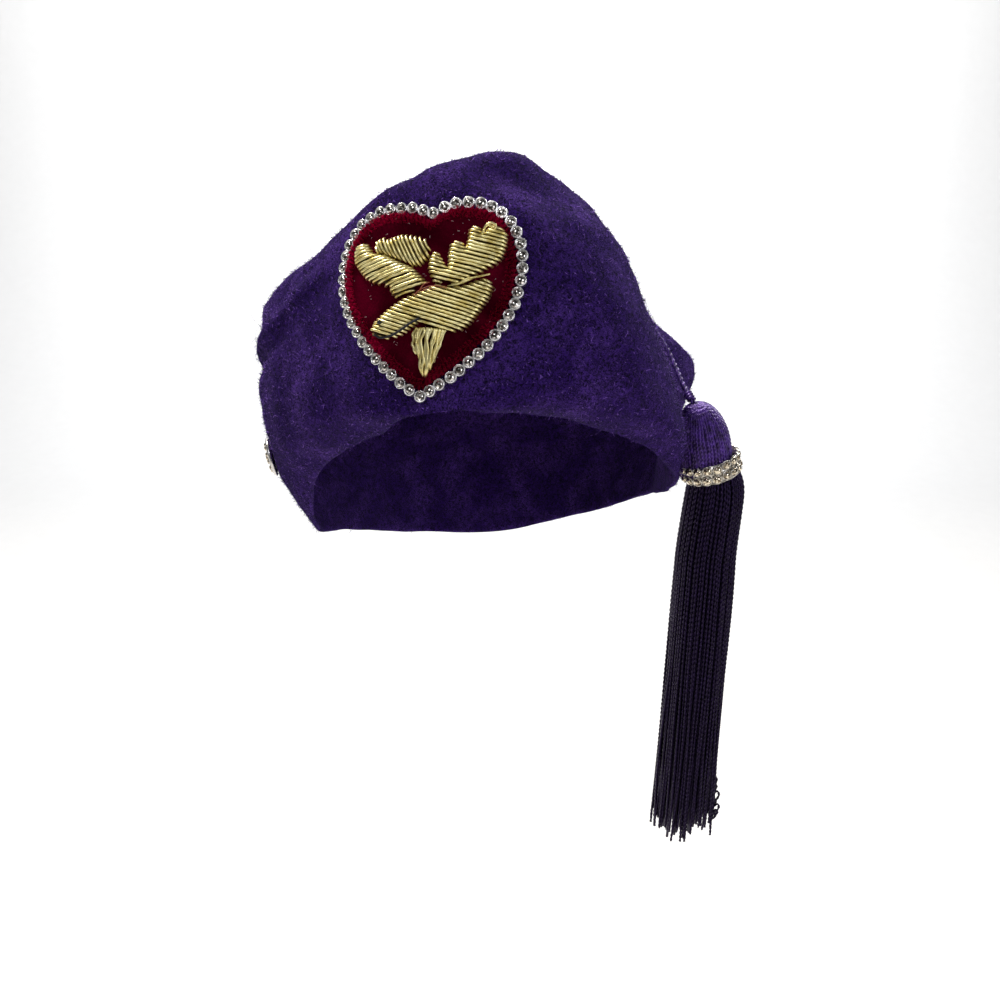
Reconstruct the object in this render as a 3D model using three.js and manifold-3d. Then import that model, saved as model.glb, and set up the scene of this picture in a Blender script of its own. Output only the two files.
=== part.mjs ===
// A soft wool felt fez with a velvet heart patch, a twisted cord and a tassel.
// The cap is one piece of felt, open below for the head. The patch is sewn to its front, edged with
// a chain of set stones, and carries a bird in padded gold work. A brooch is pinned to one side.
// A cord runs from a button on the crown to the tassel, whose neck has a double row of stones.
//
// Millimetres. +X is to the right as the patch is looked at, +Y is towards the back and +Z is up.
// The origin is the centre of the head opening.

import * as THREE from "three";
import { mergeVertices } from "three/addons/utils/BufferGeometryUtils.js";
import Module from "manifold-3d";

const wasm = await Module();
wasm.setup();

// Cap
const CAP_HALF_WIDTH = 100;
const CAP_HALF_DEPTH = 105;
const CROWN_RISE = 150;
const FELT_THICKNESS = 2.4;
const FOLD_DEPTH = 10;
const CAP_COLUMNS = 48;
const CAP_ROWS = 16;

// Heart patch, measured before it is bent round the cap
const PATCH_WIDTH = 55.5;
const PATCH_LEFT_SHARE = 1.06;
const PATCH_HEIGHT = 58.5;
const PATCH_THICKNESS = 3;
const PATCH_BEND_ACROSS = 100;
const PATCH_BEND_ALONG = 280;
const PATCH_TURN = -1;
const PATCH_SEAT = { around: -14.6, up: 0.328 };
const PATCH_SPOKES = 30;

// Rings of the patch's lower and upper face as shares of its outline, and the height at which its
// edge rounds over as a share of its thickness.
const PATCH_RINGS = { under: [0.34, 0.67, 1], over: [0.96, 0.64, 0.32], edge: 0.7 };

// Chain of set stones round the patch
const SETTING_HEIGHT = 2.6;
const SETTING_DIAMETER = 4.2;
const SETTING_COUNT = 50;
const STONE_SIDES = 8;
const STONE_RISE = 0.7;
const STONE_TABLE = 0.55;
const STONE_OVERLAP = 0.12;

// Gold work bird
const BIRD_SPAN = 51;
const BIRD_PADDING = 3;

// Cord and its button
const CORD_DIAMETER = 2.2;
const CORD_SIDES = 8;
const CORD_STEPS = 24;
const BUTTON_DIAMETER = 13;
const BUTTON_HEIGHT = 4.5;
const BUTTON_SIDES = 14;

// Tassel
const TASSEL_HEAD_DIAMETER = 22;
const TASSEL_HEAD_LENGTH = 28.5;
const TASSEL_HEAD_SHIFT = 1.5;
const TASSEL_LEAN = 8;
const TASSEL_SKIRT_LENGTH = 199;
const TASSEL_SKIRT_DIAMETER = 28.5;
const TASSEL_SKIRT_SHIFT = 1.8;
const TASSEL_SIDES = 14;
const TASSEL_SEAT = { around: 79, up: 0.12 };
const TASSEL_STAND_OFF = 4.9;
const TASSEL_DROP = 5.7;

// Band of stones round the tassel's neck
const BAND_THICKNESS = 0.8;
const BAND_STONE_HEIGHT = 1.5;
const BAND_STONE_COUNT = 17;
const BAND_STONE_FILL = 0.96;
const BAND_ROW_PITCH = 4.7;
const BAND_TILT = 19;

// Brooch
const BROOCH_DIAMETER = 17;
const BROOCH_THICKNESS = 1.6;
const BROOCH_SIDES = 16;
const BROOCH_STONE_COUNT = 5;
const BROOCH_SEAT = { around: -80, up: 0.17 };

// The brooch's ring of stones and the stones' sizes, as shares of its radius.
const BROOCH_SHARES = { ring: 0.66, stone: 0.5, middleStone: 0.64 };

// Clearance that touching pieces keep from each other
const GAP = 0.3;

const RADIANS = Math.PI / 180;

// How far the felt reaches from the middle, as a share of the cap's half width and half depth. One
// row for each place round the cap, in degrees from the front towards +X.
const REACH = [
  { around: 0, rim: 0.88, low: 1.02, mid: 0.94, high: 0.8, edge: 0.59 },
  { around: 28, rim: 0.86, low: 0.99, mid: 0.95, high: 0.74, edge: 0.49 },
  { around: 56, rim: 0.85, low: 0.85, mid: 0.79, high: 0.57, edge: 0.42 },
  { around: 84, rim: 0.78, low: 0.765, mid: 0.77, high: 0.655, edge: 0.46 },
  { around: 99, rim: 0.78, low: 0.78, mid: 0.79, high: 0.69, edge: 0.48 },
  { around: 116, rim: 0.84, low: 0.92, mid: 1.03, high: 1.06, edge: 0.9 },
  { around: 146, rim: 0.9, low: 0.99, mid: 1.02, high: 0.96, edge: 0.8 },
  { around: 180, rim: 0.92, low: 1, mid: 1.01, high: 0.92, edge: 0.74 },
  { around: 214, rim: 0.9, low: 0.99, mid: 1.02, high: 0.96, edge: 0.8 },
  { around: 244, rim: 0.87, low: 0.98, mid: 1.03, high: 1, edge: 0.88 },
  { around: 272, rim: 0.86, low: 0.97, mid: 1.035, high: 1.01, edge: 0.94 },
  { around: 300, rim: 0.86, low: 1, mid: 1.02, high: 0.97, edge: 0.83 },
  { around: 330, rim: 0.87, low: 1.02, mid: 0.97, high: 0.86, edge: 0.7 },
];

// How high the felt lies at the same places, as a share of the crown's rise.
const HEIGHT = [
  { around: 0, rim: 0.46, low: 0.53, mid: 0.72, high: 0.9, edge: 1.02 },
  { around: 28, rim: 0.39, low: 0.48, mid: 0.65, high: 0.86, edge: 0.94 },
  { around: 56, rim: 0.22, low: 0.33, mid: 0.5, high: 0.73, edge: 0.85 },
  { around: 84, rim: 0.06, low: 0.18, mid: 0.35, high: 0.54, edge: 0.74 },
  { around: 99, rim: -0.01, low: 0.12, mid: 0.29, high: 0.48, edge: 0.64 },
  { around: 116, rim: -0.09, low: 0.06, mid: 0.24, high: 0.35, edge: 0.45 },
  { around: 146, rim: -0.26, low: -0.06, mid: 0.18, high: 0.36, edge: 0.48 },
  { around: 180, rim: -0.39, low: -0.14, mid: 0.12, high: 0.37, edge: 0.53 },
  { around: 214, rim: -0.34, low: -0.1, mid: 0.18, high: 0.4, edge: 0.55 },
  { around: 244, rim: -0.22, low: 0.02, mid: 0.28, high: 0.46, edge: 0.58 },
  { around: 272, rim: -0.09, low: 0.07, mid: 0.38, high: 0.5, edge: 0.63 },
  { around: 300, rim: 0.19, low: 0.3, mid: 0.49, high: 0.63, edge: 0.76 },
  { around: 330, rim: 0.38, low: 0.47, mid: 0.65, high: 0.83, edge: 0.94 },
];

// How far up the felt each level lies, from the rim at 0 to the crown's centre at 1.
const LEVELS = { rim: 0, low: 0.13, mid: 0.3, high: 0.5, edge: 0.65, top: 0.83, centre: 1 };

// The crown's centre and the swell of the top round it, as shares of the cap's half width, half
// depth and rise.
const CROWN_CENTRE = { across: 0.02, back: 0.16, up: 0.8 };
const TOP_SWELL = 0.05;

// Dents and folds. Around and spanAround are in degrees, up and spanUp run as LEVELS do, slant is
// how much up goes with a degree round, and out is a share of FOLD_DEPTH.
const FOLDS = [
  { name: "over the patch", around: 1, up: 0.56, spanAround: 20, spanUp: 0.05, slant: 0, out: -0.45 },
  { name: "left ridge", around: -60, up: 0.46, spanAround: 18, spanUp: 0.04, slant: 0.003, out: 0.4 },
  { name: "left hollow", around: -74, up: 0.37, spanAround: 12, spanUp: 0.05, slant: 0.003, out: -0.5 },
  { name: "right rim roll", around: 55, up: 0.13, spanAround: 19, spanUp: 0.06, slant: 0, out: 0.3 },
];

// Where the patch holds the felt to its own shape, as a share of the trimmed patch's half width and
// half height, and where that hold ends.
const HOLD = { full: 1.1, none: 1.55 };

// The bird's pads. A row is a section across a pad, from its low edge to its high edge, to the
// right and up from the patch's middle, as shares of the bird's span.
const BIRD = {
  bird_body: [
    { lowS: -0.385, lowT: -0.235, highS: -0.4, highT: -0.19 },
    { lowS: -0.32, lowT: -0.25, highS: -0.36, highT: -0.12 },
    { lowS: -0.23, lowT: -0.245, highS: -0.27, highT: -0.04 },
    { lowS: -0.12, lowT: -0.19, highS: -0.17, highT: 0.02 },
    { lowS: -0.02, lowT: -0.15, highS: -0.04, highT: 0.075 },
    { lowS: 0.08, lowT: -0.2, highS: 0.06, highT: 0.1 },
    { lowS: 0.17, lowT: -0.21, highS: 0.17, highT: 0.095 },
    { lowS: 0.27, lowT: -0.16, highS: 0.27, highT: 0.12 },
    { lowS: 0.34, lowT: -0.07, highS: 0.34, highT: 0.145 },
    { lowS: 0.4, lowT: 0.04, highS: 0.4, highT: 0.125 },
  ],
  bird_left_wing: [
    { lowS: -0.5, lowT: 0.24, highS: -0.475, highT: 0.37 },
    { lowS: -0.46, lowT: 0.175, highS: -0.42, highT: 0.36 },
    { lowS: -0.39, lowT: 0.12, highS: -0.36, highT: 0.31 },
    { lowS: -0.32, lowT: 0.105, highS: -0.27, highT: 0.29 },
    { lowS: -0.25, lowT: 0.065, highS: -0.2, highT: 0.26 },
    { lowS: -0.17, lowT: 0.05, highS: -0.11, highT: 0.22 },
    { lowS: -0.08, lowT: 0.09, highS: -0.055, highT: 0.17 },
    { lowS: -0.03, lowT: 0.12, highS: -0.025, highT: 0.135 },
  ],
  bird_upper_feathers: [
    { lowS: -0.36, lowT: 0.335, highS: -0.36, highT: 0.4 },
    { lowS: -0.29, lowT: 0.32, highS: -0.31, highT: 0.42 },
    { lowS: -0.23, lowT: 0.3, highS: -0.25, highT: 0.41 },
    { lowS: -0.16, lowT: 0.27, highS: -0.18, highT: 0.44 },
    { lowS: -0.1, lowT: 0.25, highS: -0.08, highT: 0.43 },
    { lowS: -0.04, lowT: 0.255, highS: -0.015, highT: 0.4 },
    { lowS: 0, lowT: 0.3, highS: 0.01, highT: 0.35 },
  ],
  bird_right_wing: [
    { lowS: 0.04, lowT: 0.135, highS: 0.01, highT: 0.25 },
    { lowS: 0.07, lowT: 0.13, highS: 0.05, highT: 0.32 },
    { lowS: 0.11, lowT: 0.125, highS: 0.11, highT: 0.23 },
    { lowS: 0.15, lowT: 0.125, highS: 0.14, highT: 0.385 },
    { lowS: 0.19, lowT: 0.13, highS: 0.185, highT: 0.4 },
    { lowS: 0.23, lowT: 0.145, highS: 0.235, highT: 0.35 },
    { lowS: 0.28, lowT: 0.17, highS: 0.27, highT: 0.485 },
    { lowS: 0.33, lowT: 0.185, highS: 0.32, highT: 0.49 },
    { lowS: 0.38, lowT: 0.205, highS: 0.355, highT: 0.45 },
    { lowS: 0.43, lowT: 0.24, highS: 0.42, highT: 0.505 },
    { lowS: 0.47, lowT: 0.275, highS: 0.48, highT: 0.47 },
    { lowS: 0.49, lowT: 0.335, highS: 0.5, highT: 0.4 },
  ],
  bird_tail: [
    { lowS: -0.06, lowT: -0.195, highS: 0.14, highT: -0.235 },
    { lowS: -0.08, lowT: -0.26, highS: 0.12, highT: -0.28 },
    { lowS: -0.065, lowT: -0.33, highS: 0.1, highT: -0.34 },
    { lowS: -0.045, lowT: -0.41, highS: 0.065, highT: -0.41 },
    { lowS: -0.035, lowT: -0.475, highS: 0.035, highT: -0.47 },
    { lowS: -0.01, lowT: -0.515, highS: 0.005, highT: -0.515 },
  ],
};

// The cord's middle line, from the button over the crown and down the fold to the tassel.
const CORD_ROUTE = [
  [9, 17.4, 122.6],
  [15.4, 15, 121.4],
  [21.6, 13, 119.9],
  [27, 11.4, 117.6],
  [32, 9.7, 114.4],
  [36.7, 8, 110.4],
  [41.6, 6.7, 105.9],
  [46.6, 6, 101],
  [52.4, 5.8, 95],
  [58.6, 6.3, 88.2],
  [64.6, 6.7, 82.5],
  [68.7, 7, 77],
  [71.1, 6.5, 73.6],
  [73.7, 4.5, 69.6],
  [75.6, 1.5, 65.8],
  [77.3, -3, 62],
  [78.7, -7.5, 58.4],
  [80.3, -11.5, 55.2],
  [81.9, -14.4, 52.8],
  [83, -15.9, 51],
];

// The tassel's locks: where each hangs, in degrees round the skirt and as a share of its radius,
// how thick it is as a share of that radius, and how long as a share of the skirt.
const LOCKS = [
  { around: 0, out: 0.62, thick: 0.4, long: 0.985 },
  { around: 42, out: 0.64, thick: 0.38, long: 0.95 },
  { around: 80, out: 0.6, thick: 0.42, long: 0.99 },
  { around: 124, out: 0.64, thick: 0.38, long: 0.965 },
  { around: 166, out: 0.62, thick: 0.4, long: 1 },
  { around: 206, out: 0.64, thick: 0.38, long: 0.955 },
  { around: 246, out: 0.6, thick: 0.42, long: 0.98 },
  { around: 288, out: 0.64, thick: 0.38, long: 0.94 },
  { around: 326, out: 0.62, thick: 0.38, long: 0.97 },
  { around: 100, out: 0.1, thick: 0.5, long: 0.93 },
];
const LOCK_SIDES = 5;

// A lock's sections: how far down it, how far it stands out and how thick it is there.
const LOCK_SECTIONS = [
  { down: 0, spread: 0.5, thick: 0.75 },
  { down: 0.04, spread: 0.5, thick: 0.75 },
  { down: 0.1, spread: 0.96, thick: 1 },
  { down: 0.93, spread: 1.04, thick: 0.98 },
  { down: 1, spread: 1.04, thick: 0.55 },
];

// Profiles as shares of a piece's radius and height: the tassel's head from its foot in the neck,
// and the crown's button.
const HEAD_PROFILE = [
  { radius: 0, height: -0.13 },
  { radius: 0.8, height: -0.13 },
  { radius: 0.8, height: 0.07 },
  { radius: 1, height: 0.17 },
  { radius: 1, height: 0.48 },
  { radius: 0.88, height: 0.74 },
  { radius: 0.56, height: 0.93 },
  { radius: 0, height: 1 },
];
const BUTTON_PROFILE = [
  { radius: 0, height: 0 },
  { radius: 1, height: 0 },
  { radius: 1, height: 0.4 },
  { radius: 0.75, height: 0.8 },
  { radius: 0, height: 1 },
];

// A gold pad's section: across it from its low edge, and up as a share of its padding. Its two
// ends are lower by PAD_END_RISE.
const PAD_PROFILE = [
  { across: 0, height: 0 },
  { across: 1, height: 0 },
  { across: 1, height: 0.45 },
  { across: 0.72, height: 1 },
  { across: 0.28, height: 1 },
  { across: 0, height: 0.45 },
];
const PAD_END_RISE = 0.6;

const modulo = (value, size) => ((value % size) + size) % size;

/** The value of a smooth curve through b and c, a share t of the way between them. */
function smoothBetween(a, b, c, d, t) {
  return b + 0.5 * t * (c - a + t * (2 * a - 5 * b + 4 * c - d + t * (3 * (b - c) + d - a)));
}

/** A level's value at any angle round the cap, from REACH or HEIGHT. */
function levelAt(table, level, around) {
  const turn = modulo(around, 360);
  const n = table.findLastIndex((row) => row.around <= turn);
  const at = (k) => table[modulo(n + k, table.length)];
  const width = modulo(at(1).around - at(0).around, 360);
  const t = (turn - at(0).around) / width;
  return smoothBetween(at(-1)[level], at(0)[level], at(1)[level], at(2)[level], t);
}

function crownCentre() {
  return new THREE.Vector3(
    CROWN_CENTRE.across * CAP_HALF_WIDTH,
    CROWN_CENTRE.back * CAP_HALF_DEPTH,
    CROWN_CENTRE.up * CROWN_RISE,
  );
}

/** The points that one column of the felt passes through, from its rim to the crown's centre. */
function columnPoints(around) {
  const sin = Math.sin(around * RADIANS);
  const cos = Math.cos(around * RADIANS);
  const points = ["rim", "low", "mid", "high", "edge"].map((level) => {
    const reach = levelAt(REACH, level, around);
    const height = levelAt(HEIGHT, level, around) * CROWN_RISE;
    const at = new THREE.Vector3(reach * CAP_HALF_WIDTH * sin, -reach * CAP_HALF_DEPTH * cos, height);
    return { up: LEVELS[level], at };
  });
  const centre = crownCentre();
  const top = points[4].at.clone().lerp(centre, 0.5);
  top.z += TOP_SWELL * CROWN_RISE;
  return [...points, { up: LEVELS.top, at: top }, { up: LEVELS.centre, at: centre }];
}

/** A point of the felt's outer face before its folds. */
function plainFelt(around, up) {
  const points = columnPoints(around);
  let n = 0;
  while (n < points.length - 2 && up > points[n + 1].up) n += 1;
  const pick = (k) => points[THREE.MathUtils.clamp(n + k, 0, points.length - 1)].at;
  const t = (up - points[n].up) / (points[n + 1].up - points[n].up);
  const blend = (axis) => smoothBetween(pick(-1)[axis], pick(0)[axis], pick(1)[axis], pick(2)[axis], t);
  return new THREE.Vector3(blend("x"), blend("y"), blend("z"));
}

/** The outward direction of the felt before its folds. */
function plainNormal(around, up) {
  const round = plainFelt(around + 2, up).sub(plainFelt(around - 2, up));
  const rise = plainFelt(around, Math.min(up + 0.02, 0.99)).sub(plainFelt(around, Math.max(up - 0.02, 0)));
  return round.cross(rise).normalize();
}

/** How far the folds move the felt out at a place. */
function foldOffset(around, up) {
  return FOLDS.reduce((sum, fold) => {
    const across = modulo(around - fold.around + 180, 360) - 180;
    const along = up - fold.up - fold.slant * across;
    const spread = (across / fold.spanAround) ** 2 + (along / fold.spanUp) ** 2;
    return sum + fold.out * FOLD_DEPTH * Math.exp(-spread);
  }, 0);
}

/** The patch's own directions where it is sewn on: right, up along the felt, and out. */
function seatOfPatch() {
  const at = plainFelt(PATCH_SEAT.around, PATCH_SEAT.up);
  const out = plainNormal(PATCH_SEAT.around, PATCH_SEAT.up);
  const right = new THREE.Vector3(0, 0, 1).cross(out).normalize();
  right.applyAxisAngle(out, -PATCH_TURN * RADIANS);
  return { at, out, right, up: out.clone().cross(right) };
}

const patchSeat = seatOfPatch();

/** How far the bent patch falls behind its middle at a distance along it. */
const fallAlong = (t) => t ** 2 / (2 * PATCH_BEND_ALONG);

/** Where a point of the flat patch lies on the cap: s to its right, t up and h off the felt. */
function onPatch(s, t, h) {
  const angle = s / PATCH_BEND_ACROSS;
  const reach = PATCH_BEND_ACROSS + h;
  return patchSeat.at
    .clone()
    .addScaledVector(patchSeat.right, reach * Math.sin(angle))
    .addScaledVector(patchSeat.out, reach * Math.cos(angle) - PATCH_BEND_ACROSS - fallAlong(t))
    .addScaledVector(patchSeat.up, t);
}

/** Moves a point of the felt to lie flat under the patch, less and less with distance from it. */
function pressUnderPatch(point) {
  const from = point.clone().sub(patchSeat.at);
  const depth = from.dot(patchSeat.out);
  const across = from.dot(patchSeat.right);
  const along = from.dot(patchSeat.up);
  const halfWidth = PATCH_WIDTH / 2 + SETTING_DIAMETER;
  const halfHeight = PATCH_HEIGHT / 2 + SETTING_DIAMETER;
  const away = Math.hypot(across / halfWidth, along / halfHeight);
  if (away >= HOLD.none || Math.abs(depth) > PATCH_BEND_ACROSS / 2) return point;
  const seat = Math.sqrt(PATCH_BEND_ACROSS ** 2 - across ** 2) - PATCH_BEND_ACROSS - fallAlong(along) - GAP;
  const hold = 1 - THREE.MathUtils.smoothstep(away, HOLD.full, HOLD.none);
  return point.addScaledVector(patchSeat.out, (seat - depth) * hold);
}

/** A point of the cap's outer face. */
function feltPoint(around, up) {
  const point = plainFelt(around, up);
  point.addScaledVector(plainNormal(around, up), foldOffset(around, up));
  return pressUnderPatch(point);
}

/** Lifts a place on the felt until a stiff round piece there is clear of the felt under it. */
function clearSeat(at, out, feltNear, radius) {
  const heights = feltNear
    .map((point) => point.clone().sub(at))
    .filter((from) => from.clone().cross(out).length() < radius)
    .map((from) => from.dot(out));
  return { at: at.clone().addScaledVector(out, Math.max(0, ...heights) + GAP), out };
}

/** The seat of a round piece on the side of the cap. */
function seatOnWall(place, radius) {
  const near = [];
  const [turn, climb] = [4, 0.03];
  for (let i = -4; i <= 4; i += 1) {
    for (let j = -4; j <= 4; j += 1) {
      near.push(feltPoint(place.around + turn * i, Math.max(0, place.up + climb * j)));
    }
  }
  return clearSeat(feltPoint(place.around, place.up), plainNormal(place.around, place.up), near, radius);
}

/** The seat of a round piece on the middle of the crown. */
function seatOnCrown(radius) {
  const centre = crownCentre();
  const ring = Array.from({ length: CAP_COLUMNS }, (_, n) =>
    feltPoint((n * 360) / CAP_COLUMNS, (CAP_ROWS - 1) / CAP_ROWS),
  );
  const out = ring.reduce((sum, point, n) => {
    const next = ring[(n + 1) % ring.length];
    return sum.add(point.clone().sub(centre).cross(next.clone().sub(centre)));
  }, new THREE.Vector3());
  const near = ring.map((p) => centre.clone().lerp(p, Math.min(1, radius / centre.distanceTo(p))));
  return clearSeat(centre, out.normalize(), near, 1.01 * radius);
}

function geometryOf(positions, faces) {
  const geometry = new THREE.BufferGeometry();
  geometry.setAttribute("position", new THREE.Float32BufferAttribute(positions, 3));
  geometry.setIndex(faces);
  return geometry;
}

/** A closed body from rings of points that run the same way round. Ends may fan from a middle. */
function loft(rings, middles = false) {
  const positions = rings.flat().flatMap((p) => p.toArray());
  const faces = [];
  const sides = rings[0].length;
  for (let j = 0; j < rings.length - 1; j += 1) {
    for (let i = 0; i < sides; i += 1) {
      const a = j * sides + i;
      const b = j * sides + ((i + 1) % sides);
      faces.push(a, b, b + sides, a, b + sides, a + sides);
    }
  }
  const close = (ring, first, reversed) => {
    const middle = ring.reduce((sum, p) => sum.add(p), new THREE.Vector3()).divideScalar(sides);
    const tip = middles ? positions.length / 3 : first;
    if (middles) positions.push(...middle.toArray());
    for (let i = middles ? 0 : 1; i < (middles ? sides : sides - 1); i += 1) {
      const a = first + i;
      const b = first + ((i + 1) % sides);
      faces.push(...(reversed ? [b, a, tip] : [a, b, tip]));
    }
  };
  close(rings[0], 0, true);
  close(rings[rings.length - 1], (rings.length - 1) * sides, false);
  return geometryOf(positions, faces);
}

/** A solid for joining and cutting. */
function solidOf(geometry) {
  const bare = new THREE.BufferGeometry();
  bare.setAttribute("position", geometry.getAttribute("position"));
  bare.setIndex(geometry.index);
  const merged = mergeVertices(bare, 1e-4);
  const vertProperties = new Float32Array(merged.getAttribute("position").array);
  const triVerts = new Uint32Array(merged.index.array);
  return new wasm.Manifold(new wasm.Mesh({ numProp: 3, vertProperties, triVerts }));
}

/** One closed body from several that run into each other. */
function fuse(geometries) {
  const joined = geometries.map(solidOf).reduce((sum, solid) => sum.add(solid));
  const mesh = joined.getMesh();
  return geometryOf(Array.from(mesh.vertProperties), Array.from(mesh.triVerts));
}

/** The felt: an outer face and an inner face, joined at the rim. */
function feltCap() {
  const positions = [];
  const outside = [];
  const at = (i, j) => modulo(i, CAP_COLUMNS) * CAP_ROWS + j;
  const centreIndex = CAP_COLUMNS * CAP_ROWS;
  for (let i = 0; i < CAP_COLUMNS; i += 1) {
    for (let j = 0; j < CAP_ROWS; j += 1) {
      positions.push(...feltPoint((i * 360) / CAP_COLUMNS, j / CAP_ROWS).toArray());
      const [a, b] = [at(i, j), at(i + 1, j)];
      if (j < CAP_ROWS - 1) outside.push(a, b, b + 1, a, b + 1, a + 1);
      else outside.push(a, b, centreIndex);
    }
  }
  positions.push(...crownCentre().toArray());
  const skin = geometryOf(positions, outside);
  skin.computeVertexNormals();
  const normals = skin.getAttribute("normal").array;
  const inner = positions.map((value, n) => value - FELT_THICKNESS * normals[n]);
  const count = positions.length / 3;
  const faces = [...outside];
  for (let n = 0; n < outside.length; n += 3) {
    faces.push(outside[n] + count, outside[n + 2] + count, outside[n + 1] + count);
  }
  for (let i = 0; i < CAP_COLUMNS; i += 1) {
    const [a, b] = [at(i, 0), at(i + 1, 0)];
    faces.push(a, a + count, b, b, a + count, b + count);
  }
  return geometryOf([...positions, ...inner], faces);
}

/** The patch's outline before it is bent: two lobes, the left one lower, and a point below. */
function heartOutline() {
  const half = PATCH_WIDTH / 2;
  const left = -PATCH_LEFT_SHARE * half;
  const tall = PATCH_HEIGHT;
  const heart = new THREE.Shape();
  heart.moveTo(0, -0.5 * tall);
  heart.bezierCurveTo(0.42 * half, -0.36 * tall, half, -0.14 * tall, half, 0.16 * tall);
  heart.bezierCurveTo(half, 0.38 * tall, 0.76 * half, 0.5 * tall, 0.45 * half, 0.5 * tall);
  heart.bezierCurveTo(0.24 * half, 0.5 * tall, 0.09 * half, 0.46 * tall, 0, 0.41 * tall);
  heart.bezierCurveTo(0.09 * left, 0.445 * tall, 0.24 * left, 0.465 * tall, 0.45 * left, 0.46 * tall);
  heart.bezierCurveTo(0.76 * left, 0.453 * tall, left, 0.34 * tall, left, 0.15 * tall);
  heart.bezierCurveTo(left, -0.14 * tall, 0.42 * left, -0.36 * tall, 0, -0.5 * tall);
  return heart;
}

function heartPatch() {
  const outline = heartOutline().getSpacedPoints(PATCH_SPOKES).slice(0, PATCH_SPOKES);
  const ring = (share, h) => outline.map((p) => onPatch(p.x * share, p.y * share, h));
  const under = PATCH_RINGS.under.map((share) => ring(share, 0));
  const over = PATCH_RINGS.over.map((share) => ring(share, PATCH_THICKNESS));
  return loft([...under, ring(1, PATCH_RINGS.edge * PATCH_THICKNESS), ...over], true);
}

/** A set stone standing on a seat: a wall, then the stone's facets up to its flat table. */
function setStone(diameter, wall, rise, { at, out, along, across }) {
  const half = diameter / 2 / Math.cos(Math.PI / STONE_SIDES);
  const ring = (radius, h) =>
    Array.from({ length: STONE_SIDES }, (_, n) => {
      const angle = ((n + 0.5) * 2 * Math.PI) / STONE_SIDES;
      return at
        .clone()
        .addScaledVector(along, radius * Math.cos(angle))
        .addScaledVector(across, radius * Math.sin(angle))
        .addScaledVector(out, h);
    });
  return loft([ring(half, 0), ring(half, wall), ring(STONE_TABLE * half, wall + rise)]);
}

/** A stiff setting's own directions on the patch, with x along the chain. */
function seatOnPatch(centre, heading) {
  const at = onPatch(centre.x, centre.y, 0);
  const out = onPatch(centre.x, centre.y, 1).sub(at);
  const ahead = onPatch(centre.x + heading.x, centre.y + heading.y, 0).sub(at);
  const along = ahead.addScaledVector(out, -ahead.dot(out)).normalize();
  return { at, out, along, across: out.clone().cross(along) };
}

/** The chain: set stones side by side round the patch, each run a little into the next. */
function stoneTrim() {
  const outline = heartOutline().getSpacedPoints(SETTING_COUNT * 4);
  const clear = SETTING_DIAMETER / 2 + GAP;
  const nearest = 0.97 * clear;
  const beside = outline.slice(0, -1).map((p, n, all) => {
    const along = all[(n + 1) % all.length].clone().sub(all[modulo(n - 1, all.length)]).normalize();
    return new THREE.Vector2(p.x + along.y * clear, p.y - along.x * clear);
  });
  const around = beside
    .filter((p) => outline.every((q) => p.distanceTo(q) > nearest))
    .map((p) => new THREE.Vector3(p.x, p.y, 0));
  const path = new THREE.CatmullRomCurve3(around, true);
  path.arcLengthDivisions = around.length * 4;
  const diameter = path.getLength() / SETTING_COUNT + STONE_OVERLAP;
  const stones = Array.from({ length: SETTING_COUNT }, (_, n) => {
    const seat = seatOnPatch(path.getPointAt(n / SETTING_COUNT), path.getTangentAt(n / SETTING_COUNT));
    return setStone(diameter, SETTING_HEIGHT, STONE_RISE, seat);
  });
  return fuse(stones);
}

/** A pad of gold work: flat below, crowned above, lofted through its sections. */
function goldPad(sections) {
  const base = PATCH_THICKNESS + GAP;
  const rings = sections.map((row, n) => {
    const rise = n === 0 || n === sections.length - 1 ? PAD_END_RISE : 1;
    return PAD_PROFILE.map(({ across, height }) => {
      const s = THREE.MathUtils.lerp(row.lowS, row.highS, across) * BIRD_SPAN;
      const t = THREE.MathUtils.lerp(row.lowT, row.highT, across) * BIRD_SPAN;
      return onPatch(s, t, base + height * rise * BIRD_PADDING);
    });
  });
  return loft(rings);
}

/** A round piece standing on a seat, from a profile of radii and heights. */
function turned(profile, sides, seat) {
  const points = profile.map(([radius, height]) => new THREE.Vector2(radius, height));
  const lean = new THREE.Quaternion().setFromUnitVectors(new THREE.Vector3(0, 0, 1), seat.out);
  const geometry = new THREE.LatheGeometry(points, sides);
  geometry.rotateX(Math.PI / 2);
  geometry.applyQuaternion(lean);
  geometry.translate(...seat.at.toArray());
  geometry.deleteAttribute("normal");
  geometry.deleteAttribute("uv");
  return mergeVertices(geometry, 1e-4);
}

/** A profile of shares at a piece's own radius and height. */
function scaled(profile, radius, height) {
  return profile.map((row) => [row.radius * radius, row.height * height]);
}

function crownButton() {
  const radius = BUTTON_DIAMETER / 2;
  return turned(scaled(BUTTON_PROFILE, radius, BUTTON_HEIGHT), BUTTON_SIDES, seatOnCrown(radius));
}

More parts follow.
